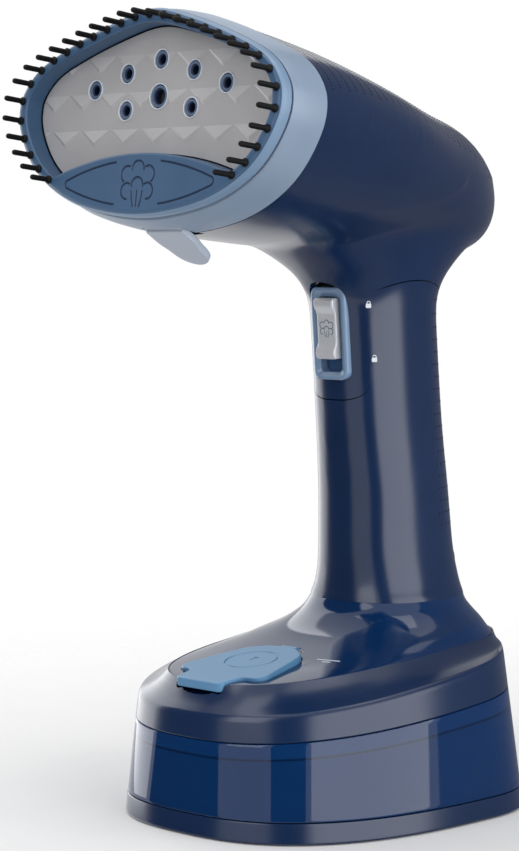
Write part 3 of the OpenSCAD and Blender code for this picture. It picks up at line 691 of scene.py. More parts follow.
# %% Hinge ears
ears = []
for x in (-4.7, 4.7):
    ears += [(rod(1.4, -1.1, 1.1, 32), moved(WORLD, x, hinge_y, -1.9) @ Z_TO_X),
             (box((-1.1, -1.4, -2.9), (1.1, 1.4, -0.1)), moved(WORLD, x, hinge_y, -1.9))]
keep(as_object("hinge_ears", gather(ears), cap_frame), deck_gloss, "housing", "hinge_block")

# %% [markdown]
# The cap itself is the same outline at its own size, with the upright corners rounded
# first and the rims after, which is the order that keeps the bevels from fighting. A
# turned ring presses the thumb circle into its top, and two short bars make the mark in
# it. An arm and a barrel at the rear take the pin.

# %% Filler cap
bm = prism(rounded(cap_outline(), 1.6), -2.2, cap_top)
soften(bm, 1.2, 0.4)
cap = as_object("filler_cap", bm, cap_frame)
cut(cap, turned(wire_profile(8.3, 0.32), 96), moved(cap_frame, 0, 16.5, cap_top))
for half_w, start, end in ((0.25, 15.8, 19.2), (1, 18.65, 19.15)):
    cut(cap, box((-half_w, start, cap_top - 0.25), (half_w, end, cap_top + 0.25)), cap_frame)
pin_frame = moved(cap_frame, 0, hinge_y, hinge_z) @ Z_TO_X
cut(cap, rod(1.7, -3.2, 3.2, 32), pin_frame, "UNION")
cut(cap, box((-3.2, hinge_y - 3.6, -2.6), (3.2, hinge_y, -1.1)), cap_frame, "UNION")
cut(cap, rod(0.95, -4.5, 4.5, 32), pin_frame)
keep(cap, cap_blue, "cap", "fill_cap")

# %% [markdown]
# The handle and the head are one flowing form: the neck swells out of the grip and melts
# into the underside of the head. Two lofts that simply cross would meet in a hard line.
# A voxel remesh fuses them into one even skin, and smoothing only the points near the
# old line rolls it into a fillet, while the rest keeps its measured shape.

# %% Sections of the handle and the head
handle_rows = [[58, 10.2, 57.6, 23.3], [64.5, 10.4, 57.6, 23.1], [68, 11.1, 57.2, 21.5],
               [73, 11.4, 56.6, 20.1], [78, 11.2, 55.8, 19.3], [85, 11, 55, 18.8],
               [100, 10.8, 53.2, 18.4], [122, 8.9, 50.8, 17.4], [150, 6.7, 48.2, 17.4],
               [158, 5.8, 47.8, 17.6], [163, 4, 48.8, 18], [168, -0.5, 52, 19],
               [173, -9, 57.4, 20.8], [178, -20, 63.6, 22.6], [186, -34, 70, 24]]


def handle_ring(row):
    """A section of the handle, squarer behind where it spreads into the foot."""
    z, front, rear, half_w = row
    behind = 2.5 + 0.1 * min(max((82 - z) / 16, 0), 1)
    widest = (front + rear) / 2 if z > 80 else 33.4
    return ring(half_w, front, rear, widest, z, 0, 2.5, behind)


house = [(0, 1), (0.28, 0.875), (0.634, 0.604), (0.88, 0.33), (1, -0.05), (0.95, -0.37),
         (0.775, -0.68), (0.458, -0.907), (0, -1)]


def house_curve(half, steps):
    """The closed outline with a gabled top, from the shares on one side."""
    return through(list(half) + [(-x, y) for x, y in reversed(half[1:-1])], steps, closed=True)


def head_section(depth, oval, half_w, middle, up, down):
    """A section of the head at a depth, part way from the gabled outline to an oval."""
    half = []
    for i, (x, y) in enumerate(house):
        a = math.radians(22.5 * i)
        half.append((x + (math.sin(a) - x) * oval, y + (math.cos(a) - y) * oval))
    return [Vector((x * half_w, middle + y * (up if y > 0 else down), -depth))
            for x, y in house_curve(half, 8)]


head_rows = [[18, 0, 57.2, 0, 26.4, 39.6], [40, 0.2, 54, 0, 23.6, 39.6],
             [71, 0.55, 47.5, -3, 20.3, 35.5], [100, 0.9, 38.5, -9, 21.4, 25.5],
             [121, 1, 31, -12, 21.6, 21], [136, 1, 23.5, -14.6, 18.6, 18.6],
             [146, 1, 16, -16.6, 13.6, 14.4], [152, 1, 9, -17.6, 8.4, 9],
             [154.2, 1, 2.5, -17.8, 2.4, 2.6]]
fine_head = [[10] + head_rows[0][1:]] + through(head_rows, 4)
head_solid = as_object("head_solid", loft([head_section(*row) for row in fine_head]), head_frame)
fine_handle = through(handle_rows, 4)
body = as_object("body", loft([handle_ring(row) for row in fine_handle]), tank_frame)
carve(body, head_solid, "UNION")
print("raw body:", len(body.data.polygons), "faces")

# %% [markdown]
# The remesh replaces the crossing lofts by a fine even grid. A few rounds of smoothing
# take its tiny steps away everywhere, and the neck gets many more.

# %% Fuse and smooth the body
def fuse(obj, size):
    """Rebuilds a closed shape as an even skin."""
    remesh = obj.modifiers.new("fuse", "REMESH")
    remesh.mode, remesh.voxel_size = "VOXEL", size * MM
    settle(obj)


def relax(obj, rounds, chosen=None):
    """Smooths all the points of a skin, or only the chosen ones."""
    bm = bmesh.new()
    bm.from_mesh(obj.data)
    verts = [v for v in bm.verts if chosen is None or chosen(v.co)]
    for _ in range(rounds):
        bmesh.ops.smooth_vert(bm, verts=verts, factor=0.5, use_axis_x=True, use_axis_y=True,
                              use_axis_z=True)
    bm.to_mesh(obj.data)
    bm.free()
    return len(verts)


fuse(body, 1.1)
relax(body, 3)
into_head = head_frame.inverted()
neck_foot, neck_top, neck_half_w = 158 * MM, 200 * MM, 36 * MM


def in_neck(point):
    """Near the line where the handle runs into the head."""
    local = into_head @ point
    return (neck_foot < point.z < neck_top and abs(point.x) < neck_half_w and local.y < -8
            and local.z < -50)


print("neck points:", relax(body, 60, in_neck))

# %% [markdown]
# Both shells are thin walls round a space that holds the pump and the boiler. A copy of
# the body shrunk along its own normals by the wall's thickness is the right shape for
# that space. The seam between head and grip is an arch at the back and a tongue under
# the switch, so two prisms describe it, one a hair smaller so that the seam stays open.

# %% Hollow the body and part it along the seam
shell_wall = 2.2
arch_half, arch_z, tongue_half_w, tongue_z = 27, 167, 12.4, 129
core = twin(body, "core")
shrink = core.modifiers.new("shrink", "DISPLACE")
shrink.strength, shrink.mid_level = -shell_wall * MM, 0
settle(core)
fuse(core, 1.8)
carve(body, core)


def seam_zone(gap):
    """All above the arched seam, and the tongue that carries the switch. The gap closes
    towards the front, where the real seam can't be seen."""
    top = middle_y + arch_half
    arch = [(-90, 270), (-90, 162)]
    arch += [(top + d, arch_z - d * d / 84 + gap * min(max((d + 17) / 5, 0), 1))
             for d in range(-arch_half, arch_half + 1)]
    arch += [(110, 158 + gap), (110, 270)]
    zone = as_object("zone", prism(arch, -60, 60), own_frame(ORIGIN, Z, X))
    tongue = [(-tongue_half_w, 200)]
    for i in range(41):
        a = math.pi + math.pi * i / 40
        x = tongue_half_w * math.copysign(abs(math.cos(a)) ** (2 / 3), math.cos(a))
        tongue.append((x, tongue_z + 8 + (gap - 8) * abs(math.sin(a)) ** (2 / 3)))
    tongue.append((tongue_half_w, 200))
    return cut(zone, prism(tongue, 4 - top, 94 - top), own_frame(ORIGIN, Z, -Y), "UNION")


head = twin(body, "head_skin")
carve(head, seam_zone(0.17), "INTERSECT")
carve(body, seam_zone(-0.17))
body.name = "grip_skin"
cut(head, box((-80, -70, -18), (80, 60, 40)), head_frame)
cut(head, box((-9, -43, -20.6), (9, -38.4, -17)), head_frame)
cut(body, box((-80, -80, -10), (80, 110, 64.5)), tank_frame)
cut(body, rod(6.4, 40, 75), own_frame(Vector((0, middle_y, 74)), -Z, Y))
print("faces of head and grip:", len(head.data.polygons), len(body.data.polygons))

# %% [markdown]
# The switch sits in a rounded window in the tongue. Every edge round it is a rounded
# rectangle, and where it lies on the grip each point drops back as far as the grip does
# at that width. A ball hollows the skin above the window, and a black lens lies in that
# hollow as painted shade, where little light reaches.

# %% Switch window
grip_half_w, grip_half_d = 17.4, 20.8


def soft_rect(half_w, half_h, radius, z=0.0, centre=0.0, drape=False, corner=8):
    """A rounded rectangle, laid on the front of the grip if asked."""
    points = []
    for i, (sx, sy) in enumerate(((1, 1), (-1, 1), (-1, -1), (1, -1))):
        for k in range(corner + 1):
            a = math.pi / 2 * (i + k / corner)
            x = sx * (half_w - radius) + radius * math.cos(a)
            y = centre + sy * (half_h - radius) + radius * math.sin(a)
            back = grip_half_d * (1 - (1 - abs(x / grip_half_w) ** 2.5) ** 0.4) if drape else 0
            points.append(Vector((x, y, z - back)))
    return points


cut(head, prism(soft_rect(7.5, 15.0, 3.0), -12, 20), switch_frame)
cut(head, ball((0, 14.6, 1.6), (5.7, 3.2, 3.6), 40, 24), switch_frame)
# Painted shade: a black lens in the hollow above the window.
painted_shade_lens = as_object("painted_shade_lens", ball((0, 14.4, -1.5), (5.9, 3.4, 1.9), 40, 24), switch_frame)
cut(painted_shade_lens, prism(soft_rect(7.6, 15.1, 3.1), -12, 20), switch_frame)
keep(painted_shade_lens, bristle_black, "housing")
keep(head, navy_satin, "housing", "head_shell", edge=28, even=False)
keep(body, navy_satin, "housing", "grip_shell", edge=28, even=False)

# %% [markdown]
# The bezel is a narrow raised frame, lofted round the window: up its outer wall, over a
# round rim, down towards the button and back into the handle.

# %% Bezel
slot_y, slot_half_w, slot_half_h = -0.35, 4.6, 12.05
bezel = as_object("bezel", loft(stack(
    lambda *row: soft_rect(*row, drape=True), (7.35, 14.85, 2.9, -2.6), (7.35, 14.85, 2.9, 0.9),
    (7.25, 14.8, 2.8, 1.35), (7.0, 14.6, 2.6, 1.65), (6.6, 14.25, 2.4, 1.75),
    (6.0, 13.6, 2.1, 1.6, slot_y / 2), (5.0, 12.5, 1.6, 0.7, slot_y),
    (slot_half_w, slot_half_h, 1.4, 0.4, slot_y), (slot_half_w, slot_half_h, 1.4, -2.6, slot_y)),
    looped=True), switch_frame)
keep(bezel, bezel_blue, "housing", "switch_bezel")

# %% [markdown]
# The steam button is a silver bar with a raised bump at each end for the thumb and a
# hollow between them. Half its side view is drawn, mirrored and pushed across the width.
# Behind it a slide travels with it, long enough that the slot never shows the inside.
# The button is kept a little later, once its sign is engraved.

# %% Steam button and its slide
button_l, button_w, button_top = 19.4, 8.2, 11.35
button_y, half_l = button_top - button_l / 2, button_l / 2
crest = [(half_l - back, z) for back, z in ((0, -0.8), (0, 2.4), (0.7, 3.05), (1.8, 3.2),
                                            (3, 3.0), (4.2, 2.3), (5.4, 1.8))]
bm = prism(crest + [(-x, z) for x, z in reversed(crest)], -button_w / 2, button_w / 2)
soften(bm, 0.9, 0.55)
button_frame = moved(switch_frame, 0, button_y)
button = as_object("button", bm, own_frame(button_frame.translation / MM, -press, X))
cut(button, rod(1.7, -8.2, -0.4), button_frame, "UNION")
slide_low, slide_high, skirt_half_w = -13.6, 15.5, 4.4
slide = as_object("slide", box((-4.85, slide_low, -6.9), (4.85, slide_high, -5.7)), switch_frame)
for low, high in ((slide_low, -8.5), (11.8, slide_high)):
    cut(slide, box((-skirt_half_w, low, -6), (skirt_half_w, high, -2.8)), switch_frame, "UNION")
cut(slide, rod(2, -8, -5), button_frame)
keep(slide, recess_blue, "slider", "lock_slider")

# %% [markdown]
# The bristle frame is one moulding: a rounded outer rim, a flat face, an opening that
# follows the same gabled outline but is cut off below by an arc, and a wall inside it.
# Since both outlines have the same number of points, one looped loft makes it all.

# %% Bristle frame
DETAIL = 12
arc_r, arc_y = 111, -17.5


def outline(half_w, up, down, depth=0.0):
    return [Vector((x * half_w, y * (up if y > 0 else down), -depth))
            for x, y in house_curve(house, DETAIL)]


def opening_line(grow, depth):
    """The gabled opening, cut off below by an arc."""
    line = outline(52.3 + grow, 21 + grow, 33 + grow, depth)
    for p in line:
        p.y = max(p.y, arc_y - grow - arc_r + math.sqrt(arc_r ** 2 - p.x ** 2))
    return line


def rim(inset, depth):
    return outline(rim_half_w - inset, rim_up - inset, rim_down - inset, depth)


frame_piece = as_object("bristle_frame", loft(
    stack(rim, (1.4, 4.6), (1.4, 3.9), (0.2, 3.8), (0.2, 1.9), (0.4, 1.2), (0.9, 0.5), (1.4, 0.1),
          (2.0, 0))
    + stack(opening_line, (0.8, 0), (0.4, 0.08), (0.1, 0.35), (0, 0.8), (0, 6))
    + stack(outline, (54, 22.8, 33.6, 6), (54, 22.8, 33.6, 4.6)), looped=True), head_frame)
print("faces of the frame:", len(frame_piece.data.polygons))

# %% [markdown]
# The edge of the frame is a paler band, a painted highlight, with a dark line of shadow
# behind it before the collar starts. A thin pale ring over the frame's side paints the
# highlight, and a darker ring at the bottom of the groove is painted shade that keeps the
# line dark from every side.

# %% Painted highlight on the edge, painted shade in its groove
for name, made, rows in (
        ("frame_edge_highlight", edge_highlight_blue, ((0.5, 3.9), (0.1, 3.9), (0, 3.75), (0, 1.9), (0.2, 1.2),
                                  (0.7, 0.5), (0.95, 0.6), (0.5, 1.4), (0.35, 2))),
        ("groove_shade", shade_blue, ((1.6, 4.9), (0.9, 4.9), (0.9, 3.8), (1.6, 3.8)))):
    keep(as_object(name, loft(stack(rim, *rows), looped=True), head_frame), made, "brush")

# %% [markdown]
# The lower part of the frame carries a shallow engraving: a lens-shaped line left open
# in the middle, and a sign for steam made of two clouds and three stems. Engraving is
# cutting with a thin round tool, so each line is a fine tube swept along its path.

# %% Paths of the engraving


def tube(path, radius, sides=6):
    """A thin rod swept along a flat path."""
    sections = []
    for i, point in enumerate(path):
        ahead = path[min(i + 1, len(path) - 1)] - path[max(i - 1, 0)]
        aside = Vector((-ahead.y, ahead.x, 0)).normalized()
        sections.append([point + radius * (math.cos(math.tau * k / sides) * aside
                                           + math.sin(math.tau * k / sides) * Z)
                         for k in range(sides)])
    return loft(sections)


def flat(points, side_x=1):
    """Points of a flat path, mirrored if side_x is -1."""
    return [Vector((side_x * p[0], p[1], 0)) for p in points]


def arc(x, y, radius, start, end, steps=14):
    turns = [math.radians(start + (end - start) * i / steps) for i in range(steps + 1)]
    return [Vector((x + radius * math.cos(a), y + radius * math.sin(a), 0)) for a in turns]


lens_half_w, lens_half_h, lens_y, lens_end, lens_gap = 34, 6.8, -26.4, 30.2, 9.5


def lens(sign, side_x):
    """Half of one long arc of the lens, from its point to the gap."""
    radius = (lens_half_w ** 2 + lens_half_h ** 2) / (2 * lens_half_h)
    line = []
    for i in range(17):
        x = lens_end - (lens_end - lens_gap) * i / 16
        y = math.sqrt(radius ** 2 - x ** 2) - (radius - lens_half_h)
        line.append(Vector((side_x * x, lens_y + sign * y, 0)))
    return line


lens_point = [(30.1, -24.9), (31.1, -25.2), (31.7, -25.7), (31.9, -26.4), (31.7, -27.1),
              (31.1, -27.6), (30.1, -27.9)]
lens_lines = [lens(sign, side_x) for sign in (1, -1) for side_x in (1, -1)]
lens_lines += [flat(lens_point, side_x) for side_x in (1, -1)]
sign_half = [arc(4.5, -23.9, 2.55, 122, -62), arc(4.4, -28.8, 2.4, 128, -100),
             [(2.4, -28.6), (2.1, -30.8), (1.3, -33.6)]]
sign_lines = [flat(path, side_x) for side_x in (1, -1) for path in sign_half]
sign_lines += [arc(0, -22.3, 2.5, 192, -12), arc(0, -27.1, 2.4, 195, -15),
               flat([(0, -28.4), (0, -31), (0, -33.6)])]
print("engraved lines:", len(lens_lines + sign_lines))

# %% [markdown]
# The same sign, much smaller, goes on the steam button. A groove this fine catches as
# much light as the face round it, so a thin dark rod lies at the bottom of each line and
# stands for the shadow there. It moves with the piece it is engraved in.

# %% Engrave the frame and the button


def engrave(obj, paths, radius, place):
    for path in paths:
        cut(obj, tube(path, radius), place)


def shade_lines(name, paths, radius, place, made, body_name):
    """Thin dark rods at the bottom of engraved lines."""
    rods = gather([(tube(path, radius), WORLD) for path in paths])
    keep(as_object(name, rods, place), made, body_name, even=False)


engrave(frame_piece, lens_lines + sign_lines, 0.36, head_frame)
shade_lines("engraving_shade", lens_lines + sign_lines, 0.2, moved(head_frame, 0, 0, -0.24),
            shade_blue, "brush")
keep(frame_piece, frame_blue, "brush", "brush_frame")
sign_scale, sign_middle, button_hollow = 0.4, -26.6, 1.8
sign_frame = moved(switch_frame, 0, button_y - sign_middle * sign_scale, button_hollow)
small_lines = [[p * sign_scale for p in path] for path in sign_lines]
engrave(button, small_lines, 0.19, sign_frame)
keep(button, button_silver, "button", "steam_button")
shade_lines("button_sign_shade", small_lines, 0.11, moved(sign_frame, 0, 0, -0.1), land_and_shade_blue,
            "button")

# %% [markdown]
# Behind the frame a paler collar slides over the nose of the head. It flares a little
# towards the back, so its loft grows from front to rear. A slot below takes the release
# tab, which is a rounded tongue on a pin; it leans back so that a finger can lift it.

# %% Collar and release tab


def collar_ring(depth, grow):
    return outline(56.74 + grow, 25.8 + grow, 37 + 2.6 * grow, depth)


def sleeve_ring(depth):
    return outline(54.7, 23.5, 34.3, depth)


collar = as_object("collar", loft(
    stack(collar_ring, (4.7, -0.7), (4.8, -0.2), (5.1, 0), (9, 0.6), (13, 0.85), (17.3, 1),
          (17.6, 0.85), (17.7, 0.5))
    + stack(sleeve_ring, (17.7,), (4.8,)), looped=True), head_frame)
cut(collar, box((-8.4, -60, -40), (8.4, -34.4, -10.6)), head_frame)
tab_depth, tab_half_w = 13, 8
pin_line = moved(head_frame, 0, -37.3, -tab_depth) @ Z_TO_X
cut(collar, rod(0.8, -12, 12), pin_line)
keep(collar, collar_blue, "brush", "brush_collar")

droop = math.radians(26)
tab_place = (moved(head_frame, 0, -40.1, -tab_depth)
             @ Matrix.Rotation(-droop - math.pi / 2, 4, "X"))
tab_side = [(tab_half_w, -1), (tab_half_w, 4.6), (7.7, 6.6), (7.0, 8.8)]
tab_tip = arc(0, 11, 6.6, 5, 175, 24)
bm = prism(tab_side + tab_tip + [(-x, y) for x, y in reversed(tab_side)], 0, 2.4)
soften(bm, 1.2, 0.6)
tab = as_object("tab", bm, tab_place)
cut(tab, rod(1.7, -tab_half_w, tab_half_w), pin_line, "UNION")
cut(tab, rod(0.85, -12, 12), pin_line)
keep(tab, tab_blue, "tab", "release_tab")

# %% [markdown]
# Each bristle is a stubby pin with a thicker root and a rounded tip. One is turned on
# the lathe and stamped at equal steps along the frame's face, measured by walking the
# outline from its top, so the spacing stays even round the corners.

# %% Bristles
bristle = as_mesh("bristle", turned([
    (0, -1.4), (0.85, -1.4), (0.9, 0), (1.25, 0.05), (1.3, 0.5), (0.95, 0.95), (0.82, 1.3),
    (0.85, 6.6), (0.72, 7.1), (0.4, 7.36), (0, 7.4)], 14))
bristle_line = outline(54.7, 23.4, 33.8)
bristle_pairs, bristle_run = 15, 92


def walk(path, far):
    """The point at a distance along a path."""
    for one, other in zip(path, path[1:]):
        step = (other - one).length
        if far <= step:
            return one.lerp(other, far / step)
        far -= step
    return path[-1]


bm = bmesh.new()
for i in range(bristle_pairs + 1):
    at = walk(bristle_line, bristle_run * i / bristle_pairs)
    for side_x in ((1,) if i == 0 else (1, -1)):
        stamp(bm, bristle, Matrix.Translation((side_x * at.x, at.y, 0)))
keep(as_object("bristles", bm, head_frame), bristle_black, "brush", "brush_bristles")

# %% [markdown]
# The steam plate is a warm grey pressing with three rows of shallow scales. A scale is
# nearly flush along its top and stands proud at its lower point, and the plate's finish
# carries a painted highlight on the sides that face up. Each is a triangle drawn out to a
# point and joined to the plate, which is the opening's own outline, a little small. A dark
# sheet behind it is painted shade in the gap round it.

# %% Steam plate with scales
plate_depth, plate_t = 6.3, 2.5
plate_face = -plate_depth
scale_half_w, scale_h, scale_rise, scale_sink = 6.6, 4.6, 0.62, 0.6
plate = as_object("plate", prism(opening_line(-0.45, 0), plate_face - plate_t, plate_face),
                  head_frame)
keep_in = as_object("keep_in", prism(opening_line(-0.9, 0), -9, 0), head_frame)
for low_point, shift in ((-14.0, 0), (-2.9, scale_half_w), (8.3, 0)):
    for col in range(-4, 5):
        x = shift - 0.5 + 2 * scale_half_w * col
        high = low_point + scale_h
        rows = [(scale_half_w, high, low_point - 0.5, -scale_sink, -scale_sink),
                (scale_half_w, high, low_point - 0.5, 0, 0),
                (scale_half_w - 1, high - 0.1, low_point + 0.8, 0.02, scale_rise)]
        scale = as_object("scale", loft([
            [(x - w, top, plate_face + flush), (x + w, top, plate_face + flush),
             (x, low, plate_face + proud)] for w, top, low, flush, proud in rows]), head_frame)
        carve(scale, keep_in, "INTERSECT", spare=True)
        if scale.data.polygons:
            carve(plate, scale, "UNION")
        else:
            bpy.data.objects.remove(scale)
bpy.data.objects.remove(keep_in)
steam_holes = [(s * x, y, 1.4) for x, y in ((28.2, 2.9), (14.3, 7.3), (14, -3.8)) for s in (-1, 1)]
steam_holes += [(0, 11, 1.4), (0, 0, 2.2)]
for x, y, radius in steam_holes:
    cut(plate, rod(radius + 1.75, -20, 0), moved(head_frame, x, y))
keep(plate, plate_champagne, "housing", "steam_plate", edge=2, even=False)
# Painted shadow: a black sheet seen in the gap round the plate.
keep(as_object("plate_shadow", prism(opening_line(0.6, 0), -9.4, -8.9), head_frame), liner_black,
     "housing")

# %% [markdown]
# Round every steam hole sit three small turned rings: a pale raised lip, a blue-grey
# land and a dark bore, which is painted shade inside the hole. Each profile is given
# outwards from the hole's own radius.

# %% Steam hole rings
for name, made, nodes, profile in (
        ("hole_lips", lip_blue, ["hole_grommets"], [
            (1.8, -2.4), (1.8, 0.15), (1.7, 0.4), (1.55, 0.42), (1.44, 0.3), (1.42, 0),
            (1.42, -2.4), (1.8, -2.4)]),
        ("hole_lands", land_and_shade_blue, [], [
            (1.08, -2.3), (1.08, 0.05), (0.5, 0.1), (0.35, 0), (0.35, -2.3), (1.08, -2.3)]),
        # The dark bores are painted shade inside each hole.
        ("hole_bores", shade_blue, [], [
            (0.36, -2.3), (0.36, -0.1), (0, -0.5), (0, -2.3), (0.36, -2.3)])):
    parts = [(turned([(radius + grow, z) for grow, z in profile], 40),
              Matrix.Translation((x, y, plate_face))) for x, y, radius in steam_holes]
    keep(as_object(name, gather(parts), head_frame), made, "housing", *nodes)

# %% [markdown]
# The top of the head carries rows of tiny pits in arcs behind the collar, and the back
# of the grip has the same rows as a finger hold. Each pit is a black drop less than a
# millimetre wide that stands for the shade inside a pit, so a six-sided dome of a dozen
# faces is plenty. Asking the finished skin for its nearest point puts every one exactly
# on the surface.

# %% Rows of pits
# Each pit is a black dome of painted shade, not a hole in the skin.
pit = as_mesh("pit", turned([(0, 0.07), (0.26, 0.05), (0.38, 0), (0.38, -0.3), (0, -0.3)], 6))
pit_step = 1.15
head_rows_of_pits, head_first, head_row_step = 26, 22, 4.3
grip_rows_of_pits, grip_first, grip_row_step, grip_reach = 19, 88, 4, 24


def on_skin(obj, point, upright=False):
    """A place on a skin, with z along its normal, and y as near upwards as can be if asked."""
    _, at, normal, _ = obj.closest_point_on_mesh(point)
    turn = normal.to_track_quat("Z", "Y").to_matrix()
    if upright:
        side_way = Z.cross(normal).normalized()
        turn = Matrix((side_way, normal.cross(side_way), normal)).transposed()
    return Matrix.Translation(at) @ turn.to_4x4() @ Matrix.Scale(MM, 4)


def at_depth(depth):
    """The head's measured row at any depth."""
    for one, other in zip(head_rows, head_rows[1:]):
        if depth <= other[0]:
            t = (depth - one[0]) / (other[0] - one[0])
            return [a + (b - a) * t for a, b in zip(one, other)]
    return head_rows[-1]


bm = bmesh.new()
for step in range(head_rows_of_pits):
    depth = head_first + head_row_step * step
    section = head_section(*at_depth(depth))
    for path in (section[:40], [section[0]] + section[:-40:-1]):
        far = 0.5 + 0.5 * (step % 2)
        while far < 68 - 0.28 * depth:
            stamp(bm, pit, on_skin(head, head_frame @ walk(path, far)))
            far += pit_step
keep(as_object("head_pits", bm, WORLD), bristle_black, "housing", even=False)
bm = bmesh.new()
for step in range(grip_rows_of_pits):
    for k in range(-9, 10):
        a = math.radians(7 * (k + 0.5 * (step % 2)))
        near = Vector((grip_reach * math.sin(a), middle_y + 30 + grip_reach * math.cos(a),
                       grip_first + grip_row_step * step))
        stamp(bm, pit, on_skin(body, near * MM))
keep(as_object("grip_pits", bm, WORLD), bristle_black, "housing", even=False)

# %% [markdown]
# Two small printed padlocks beside the switch show which end of its slide is locked, and
# a short plain line on the deck shows how full the tank may be. Print is flat, so these
# are slips a tenth of a millimetre thick laid on the skin.

# %% Printed marks


def slip(half_w, low, high):
    """The corners of a flat rectangle."""
    return [(-half_w, low), (half_w, low), (half_w, high), (-half_w, high)]


def padlock(place, opened):
    """A case and a hoop, whose far leg ends above the case if the lock is open."""
    case = prism(rounded(slip(0.85, -1.1, 0.3), 0.25), -0.15, 0.08)
    hoop = flat([(0.5, 0.2)] + arc(0, 0.55, 0.5, 0, 180, 8) + [(-0.5, 0.9 if opened else 0.2)])
    return [(case, place), (tube(hoop, 0.16), place)]


level_at = on_skin(deck, Vector((19.5, -11.6, 50)) * MM)
marks = [(prism(slip(half_w, y - 0.2, y + 0.2), -0.2, 0.06), level_at)
         for half_w, y in ((4, 0), (1.5, -1.6))]
for point, opened in (((13.04, 13.53, 159.56), False), ((13.41, 16.02, 142.47), True)):
    marks += padlock(on_skin(body, Vector(point) * MM, upright=True), opened)
keep(as_object("printed_marks", gather(marks), WORLD), white_print, "housing", even=False)

# %% [markdown]
# What is inside is seen only through the tank, through the steam holes and when the
# cap or the brush comes off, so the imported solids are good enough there. They still get
# real finishes: black rubber, cast alloy, brass, white tube and enamelled windings.

# %% Finishes for the inner parts
inner_finish = (
    (rubber_black, "rubber_feet tank_seal cap_plug tube_grommet pump_mounts cord_gland "
                   "supply_wires"),
    (steel, "base_screws cap_pin button_spring thermostat boiler_screws tab_pin"),
    (silicone_white, "suction_tube outlet_hose plate_gasket"),
    (white_plastic, "suction_filter switch_plunger thermal_fuse"),
    (liner_black, "pump_body micro_switch nose_ring"), (navy_satin, "foot_plate"),
    (coil_red, "pump_coil"), (board_green, "switch_board"),
    (cast_alloy, "boiler_block boiler_cover"), (element_brass, "heating_element"))
for made, names in inner_finish:
    for name in names.split():
        solid = frame["nodes"][name]
        solid.data.materials.clear()
        solid.data.materials.append(made)
print("finishes of the inner parts:", len(inner_finish))

# %% [markdown]
# The studio is plain. A pale floor fades out before its edge, so that no horizon shows.
# Its colour has a little noise, as paper has.

# %% Floor
scene = bpy.context.scene
floor_half = 1.2
floor_bm = bmesh.new()
bmesh.ops.create_grid(floor_bm, x_segments=1, y_segments=1, size=floor_half)
floor = as_object("floor", floor_bm, WORLD)
paper = bpy.data.materials.new("paper")
paper.use_nodes = True
tree = paper.node_tree
sheet = tree.nodes["Principled BSDF"]
fill(sheet, Roughness=0.9)
where = node(tree, "TexCoord")
noise = node(tree, "TexNoise", Scale=30)
tint = node(tree, "ValToRGB")
for stop, colour in zip(tint.color_ramp.elements, ((0.86, 0.86, 0.865, 1), (0.9, 0.9, 0.9, 1))):
    stop.color = colour
shrink_map = node(tree, "Mapping", Scale=(1.6, 1.6, 1.6))
reach_out = node(tree, "TexGradient")
reach_out.gradient_type = "SPHERICAL"
edge_fade = node(tree, "MapRange", From_Min=0.3, From_Max=0.82)
edge_fade.interpolation_type = "SMOOTHSTEP"
clear, blend = node(tree, "BsdfTransparent"), node(tree, "MixShader")
wire(tree, (where, "Object", noise, "Vector"), (noise, "Fac", tint, "Fac"),
     (tint, "Color", sheet, "Base Color"), (where, "Object", shrink_map, "Vector"),
     (shrink_map, "Vector", reach_out, "Vector"), (reach_out, "Fac", edge_fade, "Value"),
     (edge_fade, "Result", blend, "Fac"), (clear, "BSDF", blend, 1), (sheet, "BSDF", blend, 2),
     (blend, "Shader", tree.nodes["Material Output"], "Surface"))
floor.data.materials.append(paper)
floor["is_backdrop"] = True
floor.visible_glossy = False
print("floor half width in m:", floor_half)

# %% [markdown]
# A white surround stands behind everything. Only the camera, mirrors and glass see it at
# full strength; for all other light it is weaker, so that shadows keep some depth.

# %% Surround
world = bpy.data.worlds.new("studio")
scene.world = world
world.use_nodes = True
tree = world.node_tree
rays = node(tree, "LightPath")
either, any_seen = node(tree, "Math"), node(tree, "Math")
for maths in (either, any_seen):
    maths.operation = "MAXIMUM"
strength = node(tree, "MapRange", To_Min=0.4, To_Max=1.0)
background = tree.nodes["Background"]
fill(background, Color=(1, 1, 1, 1))
wire(tree, (rays, "Is Camera Ray", either, 0), (rays, "Is Glossy Ray", either, 1),
     (either, 0, any_seen, 0), (rays, "Is Transmission Ray", any_seen, 1),
     (any_seen, 0, strength, "Value"), (strength, "Result", background, "Strength"))
print("surround:", world.name)

# %% [markdown]
# Four large soft lamps light the steamer. Long upright ones give the handle its bright
# stripes, and dark cards between them, which only reflections see, keep the navy deep.

# %% Lamps and cards


def softbox(name, at, target, width, height, power):
    lamp = bpy.data.lights.new(name, "AREA")
    lamp.shape, lamp.size, lamp.size_y, lamp.energy = "RECTANGLE", width, height, power
    made = bpy.data.objects.new(name, lamp)
    scene.collection.objects.link(made)
    made.location = at
    made.rotation_euler = (Vector(target) - Vector(at)).to_track_quat("-Z", "Y").to_euler()
    return made


def around(azimuth, distance, height):
    """A place round the steamer: 0 is in front of its plate, 90 to its left hand."""
    a = math.radians(azimuth)
    return Vector((distance * math.sin(a), -distance * math.cos(a), height))


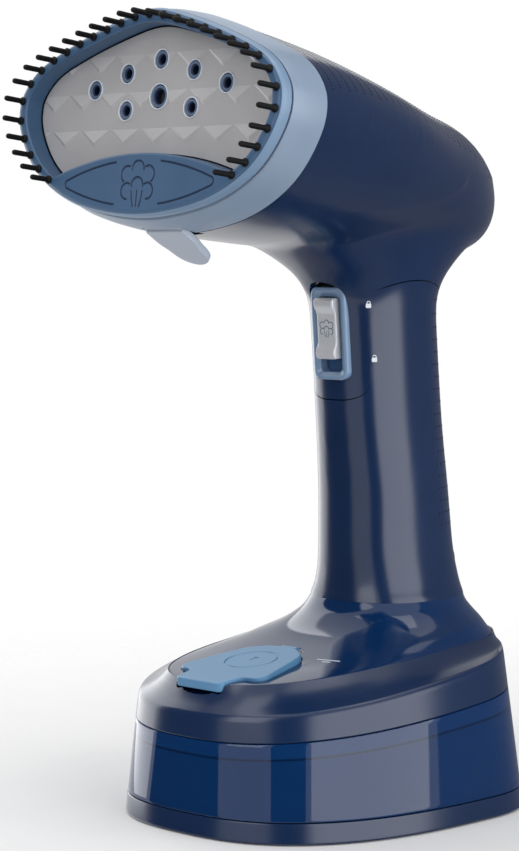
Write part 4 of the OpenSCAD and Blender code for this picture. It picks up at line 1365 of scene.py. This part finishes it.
centre = Vector((0, 0, 0.13))
softbox("left", around(-92, 1.2, 0.45), centre, 1.2, 1.3, 10.0)
softbox("front", around(1, 1.3, 0.68), centre, 0.85, 1.0, 5.6)
softbox("right", around(91, 1.2, 0.3), centre, 1.6, 1.2, 14.0)
softbox("top", around(-30, 0.1, 1.35), centre, 0.7, 1.4, 5.0)

dark, grey = bpy.data.materials.new("dark_card"), bpy.data.materials.new("grey_card")
for paint, level in ((dark, 0.01), (grey, 0.24)):
    paint.use_nodes = True
    fill(paint.node_tree.nodes["Principled BSDF"],
         Base_Color=(level, level, level * 1.1, 1))


def only_in_gloss(made, paint):
    made.data.materials.append(paint)
    made.visible_camera = made.visible_diffuse = made.visible_shadow = False
    made.visible_transmission = False
    made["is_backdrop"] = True


def card(name, start, end, high, paint):
    """A dark curved board that only reflections see, from one azimuth to another."""
    bm = bmesh.new()
    ends = [bm.verts.new(around(start, 1.5, z)) for z in (-0.6, high)]
    bmesh.ops.spin(bm, geom=ends + [bm.edges.new(ends)], cent=ORIGIN, axis=Z,
                   angle=math.radians(end - start), steps=16)
    only_in_gloss(as_object(name, bm, WORLD), paint)


card("dark_left", -64, -22, 1.5, dark)
card("dark_middle", 25, 54, 1.5, dark)
card("grey_right", 127, 214, 2.0, grey)
under = bmesh.new()
bmesh.ops.create_circle(under, cap_ends=True, segments=48, radius=1.4)
only_in_gloss(as_object("grey_below", under, Matrix.Translation(around(140, 0.75, -0.6))), grey)
print("lamps and dark cards are up")

# %% [markdown]
# The camera stands a little above the middle, to the steamer's left, with a long lens so
# that the head and the base keep their proportions.

# %% Camera
camera_at, camera_target = Vector((0.5619, -0.5944, 0.1790)), Vector((0, -0.0222, 0.1225))
lens_data = bpy.data.cameras.new("camera")
lens_data.lens, lens_data.sensor_fit, lens_data.sensor_height = 109.8, "VERTICAL", 36
camera = bpy.data.objects.new("camera", lens_data)
scene.collection.objects.link(camera)
camera.location = camera_at
aim = camera_target - camera_at
camera.rotation_euler = aim.to_track_quat("-Z", "Y").to_euler()
scene.camera = camera
scene.view_settings.view_transform = "Standard"
print("camera distance in m:", round(aim.length, 3))

# %% [markdown]
# Last, the size of what was made is measured. The dressing must not reach outside the
# box of the solids.

# %% Sizes and finish
low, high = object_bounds()
